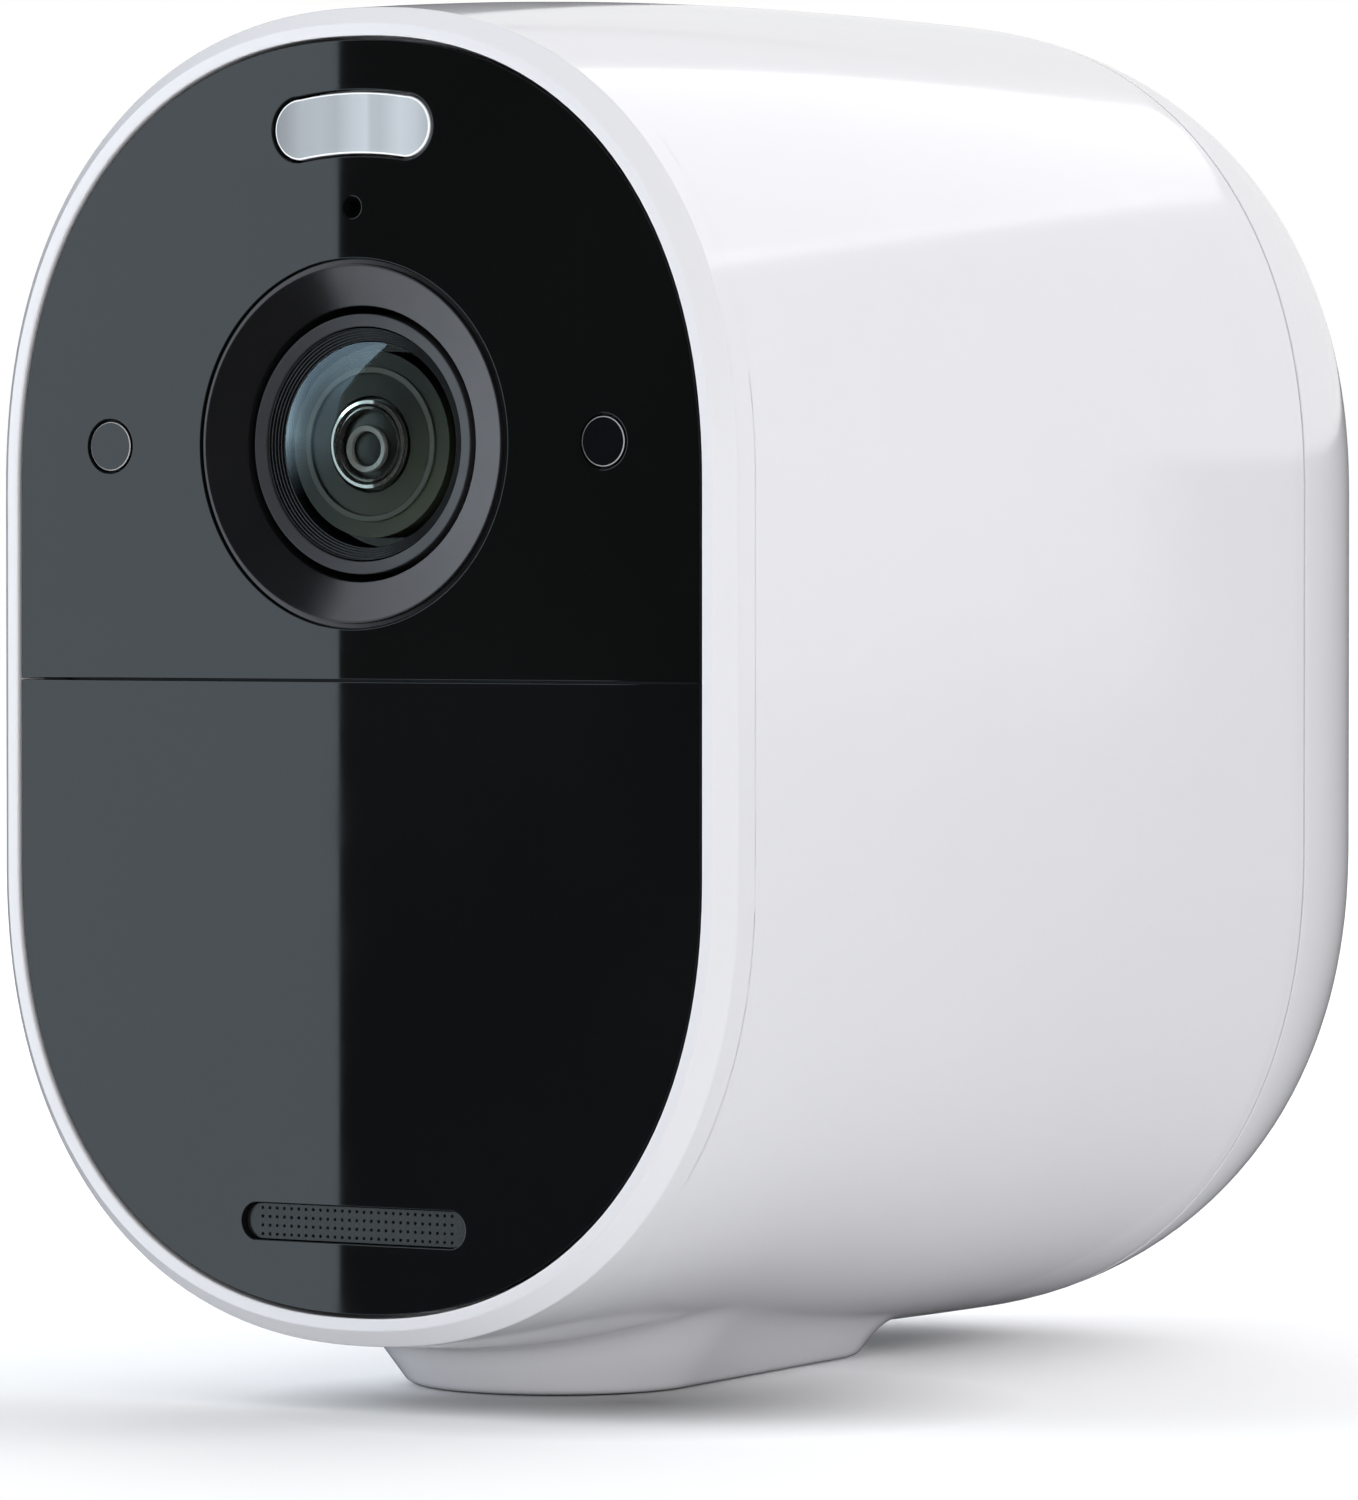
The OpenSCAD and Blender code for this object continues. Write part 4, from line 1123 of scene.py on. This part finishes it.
# Front left panel: its right-hand edge is the line that the black plates mirror
edge = Vector((-0.567, -0.871, 0.0))
along = Vector((-0.838, 0.545, 0.0)).normalized()
panel_w, panel_h, panel_z = 1.5, 1.8, 0.1
middle = edge + along * (panel_w / 2)
position = Vector((middle.x, middle.y, panel_z))
outward = Vector((along.y, -along.x, 0.0))
front_left = softbox("front_left", position, position + outward, panel_w, panel_h, LAMPS["front_left"],
                     (0.82, 0.96, 1.06))
link_lamp(front_left, [glass], False)
# Broad soft light from above and behind, for the top
link_lamp(sun("overhead", 215, 72, LAMPS["overhead"], 60), [floor], False)
# Low light from three sides that only the floor takes, so that the contact shadow stays small
for azimuth, share in ((130, 1.35), (215, 0.95), (300, 0.7)):
    link_lamp(sun("floor_fill", azimuth, 18, LAMPS["floor"] * share, 30), [floor], True)
# Panel behind, whose lower edge draws the bright band on the shoulder
softbox("shoulder", toward(164, 38.7, 2.0), (0, 0, 0.04), 1.6, 0.8, LAMPS["shoulder"])
# Pale walls behind, mirrored along the side and at the edges of the outline. Each is an azimuth,
# half of its width as an angle, and the heights of its foot and its head.
wall_reach = 2.0
for azimuth, half, foot_z, head_z in ((142, 7, 0.015, 1.1), (160.5, 11.5, 0.15, 1.1),
                                      (192, 20, 0.15, 1.1), (200, 13, 1.1, 1.9)):
    wall_at = toward(azimuth, 0, wall_reach)
    wall_at.z = (foot_z + head_z) / 2
    softbox("wall", wall_at, (0, 0, wall_at.z), 2 * wall_reach * math.tan(math.radians(half)),
            head_z - foot_z, LAMPS["wall"], kinds=("glossy",))
# Low panels in front, for the foot and the belly
link_lamp(softbox("low_front", toward(50, 3.2, 1.2), (0, 0, 0.04), 1.5, 0.17, LAMPS["low_front"],
                  kinds=("diffuse",)), [floor], False)
link_lamp(softbox("toe", toward(8, 3, 1.2), (0, 0, 0.02), 0.8, 0.12, LAMPS["toe"], kinds=("diffuse",)),
          [floor], False)
build_dome_panel()

# Camera, as solved from the photo's outlines: focal length and height of the frame in pixels, and
# distance and place of the front face's middle in millimetres
FOCAL_PX, FRAME_PX, SENSOR = 8515.86, 1500.0, 36.0
DISTANCE = 463.75
FACE_CENTRE = Vector((0.0, FRONT, 40.14))
camera = bpy.data.cameras.new("camera")
camera.sensor_width = SENSOR
camera.lens = FOCAL_PX * SENSOR / FRAME_PX
camera.clip_start, camera.clip_end = 0.01, 60.0
view = shown("camera", camera)
view.location = (FACE_CENTRE + DISTANCE * bearing(34.314, 0.6361)) * MM
view.rotation_mode = "QUATERNION"
view.rotation_quaternion = (-bearing(32.106, 1.138)).to_track_quat("-Z", "Y")
scene.camera = view
scene.view_settings.view_transform = "Standard"
scene.view_settings.look = "None"
